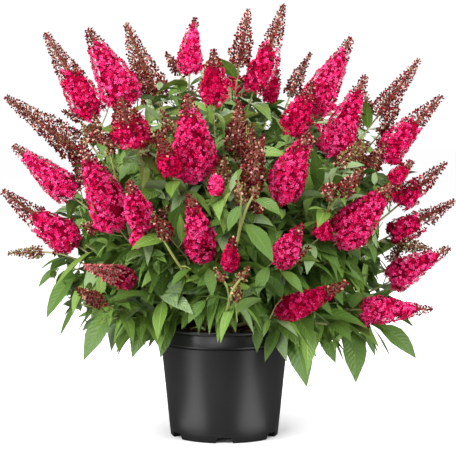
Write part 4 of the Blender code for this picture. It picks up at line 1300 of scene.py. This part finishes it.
# large leaves that hang clear of the rest: foot and tip as (across, depth, height)
drapes = (
    ((0.013, -0.30, 0.330), (-0.011, -0.32, 0.250)), ((-0.034, -0.34, 0.334), (-0.071, -0.35, 0.290)),
    ((-0.030, -0.36, 0.400), (-0.028, -0.38, 0.344)), ((-0.065, -0.38, 0.400), (-0.104, -0.40, 0.368)),
    ((0.032, -0.44, 0.529), (0.007, -0.45, 0.481)), ((0.055, -0.44, 0.539), (0.111, -0.46, 0.517)),
    ((0.036, -0.43, 0.495), (0.090, -0.45, 0.420)), ((0.086, -0.38, 0.406), (0.066, -0.40, 0.350)),
    ((0.109, -0.38, 0.396), (0.156, -0.40, 0.357)), ((0.138, -0.13, 0.249), (0.170, -0.16, 0.133)),
    ((0.277, -0.05, 0.239), (0.273, -0.07, 0.128)), ((0.326, 0.00, 0.235), (0.413, -0.01, 0.171)),
    ((0.203, -0.08, 0.228), (0.231, -0.10, 0.169)), ((0.264, -0.12, 0.270), (0.222, -0.14, 0.217)),
    ((-0.313, -0.05, 0.359), (-0.366, -0.06, 0.260)), ((-0.356, 0.00, 0.362), (-0.401, 0.00, 0.323)),
    ((-0.230, -0.12, 0.293), (-0.280, -0.13, 0.181)), ((-0.187, -0.14, 0.298), (-0.222, -0.16, 0.229)),
    ((-0.156, -0.15, 0.274), (-0.181, -0.17, 0.192)), ((-0.109, -0.18, 0.274), (-0.130, -0.20, 0.198)),
    ((0.116, -0.18, 0.264), (0.085, -0.19, 0.190)), ((0.072, -0.19, 0.268), (0.070, -0.20, 0.210)),
    ((0.290, 0.10, 0.260), (0.330, 0.11, 0.160)), ((-0.190, 0.14, 0.270), (-0.240, 0.17, 0.150)),
    ((0.020, 0.22, 0.280), (0.030, 0.27, 0.170)), ((0.150, 0.20, 0.270), (0.190, 0.26, 0.150)),
    ((-0.090, 0.21, 0.280), (-0.110, 0.27, 0.160)), ((-0.300, 0.08, 0.300), (-0.350, 0.10, 0.200)),
)


drapeForm = {"stretch": 1.06, "droop": 0.85, "swing": 0.1, "ahead": -0.1, "lift": 0.45, "roll": 0.25, "turn": 1.1}


def hangDrapes():
    for start, end in drapes:
        start, end = np.array(start), np.array(end)
        chord = end - start
        span = np.linalg.norm(chord)
        swing = chance.uniform(-drapeForm["swing"], drapeForm["swing"])
        way = unit(unit(chord) + np.array((swing, drapeForm["ahead"], drapeForm["lift"])))
        sideways = chord[0] / (abs(chord[0]) + abs(chord[1]) + 0.02)
        roll = chance.uniform(-drapeForm["roll"], drapeForm["roll"]) - drapeForm["turn"] * sideways
        # every hanging leaf takes the deep green: a painted shade
        addLeaf(start, way, span * drapeForm["stretch"], drapeForm["droop"], roll, 1.0, True)


for number, (name, (tier, rows)) in enumerate(masses.items()):
    growMass(number, name, tier, rows)
hangDrapes()
growYoung()
growBareStems()
growInner()
print("shoots grown")

leafPieces()
petal, petalFaces = petalShape()
scatterPieces("florets", florets, petal, petalFaces, petalSkins, list(petalTints).index("petalDeep"), 8)
bud, budFaces = budShape()
scatterPieces("buds", buds, bud, budFaces, budSkins)
coreMesh()
caneSkins = [makeRind("caneBrown", (0.36, 0.29, 0.15), (0.20, 0.15, 0.08), 0.8),
             makeRind("caneOlive", (0.36, 0.37, 0.15), (0.24, 0.24, 0.09), 0.7)]
settle(limbMesh("canes", "cane", caneSkins, 0.07), caneNodes + massNodes)
settle(limbMesh("twigs", "twig", stalkSkins, 0.0), massNodes)
settle(limbMesh("headStalks", "stalk", stalkSkins, 0.0), massNodes)
settle(limbMesh("pedicels", "pedicel", stalkSkins, 0.0), massNodes)
print("canes and stalks made")

woody = {
    "rings": (0.0, 0.003, 0.007, 0.012, 0.020, 0.030, 0.042, 0.054, 0.064), "top": 0.070,
    "girth": 0.0185, "taper": 0.0035, "flare": 0.0085, "flareHeight": 0.009,
    "swells": ((0.07, 3, 40), (0.04, 7, -90)), "crown": ((0.0135, 0.0675), (0.010, 0.0695), (0.0, 0.070)),
    "sunk": (0.004, 0.002), "steps": 28,
}


def makeFoot():
    deep, shallow = woody["sunk"]
    section = [(0.0, soilTop - deep)]
    for height in woody["rings"]:
        flare = woody["flare"] * math.exp(-height / woody["flareHeight"])
        radius = flare + woody["girth"] - woody["taper"] * height / woody["top"]
        section.append((radius, soilTop + height - shallow))
    section += [(radius, soilTop + height) for radius, height in woody["crown"]]
    foot = spun("woodyFoot", section, woody["steps"], makeBark())
    for vert in foot.data.vertices:
        bearing = math.atan2(vert.co.y, vert.co.x)
        swell = sum(size * math.sin(bearing * turns + vert.co.z * climb) for size, turns, climb in woody["swells"])
        vert.co.x *= 1 + swell
        vert.co.y *= 1 + swell
    settle(foot, ["stem_base"])
    print("woody foot made")


makeFoot()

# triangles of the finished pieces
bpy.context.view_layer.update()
meshes = [piece.data for piece in scene.objects if piece.type == "MESH" and not piece.hide_render]
triangles = sum(len(mesh.loops) - 2 * len(mesh.polygons) for mesh in meshes)
print("triangles", triangles)
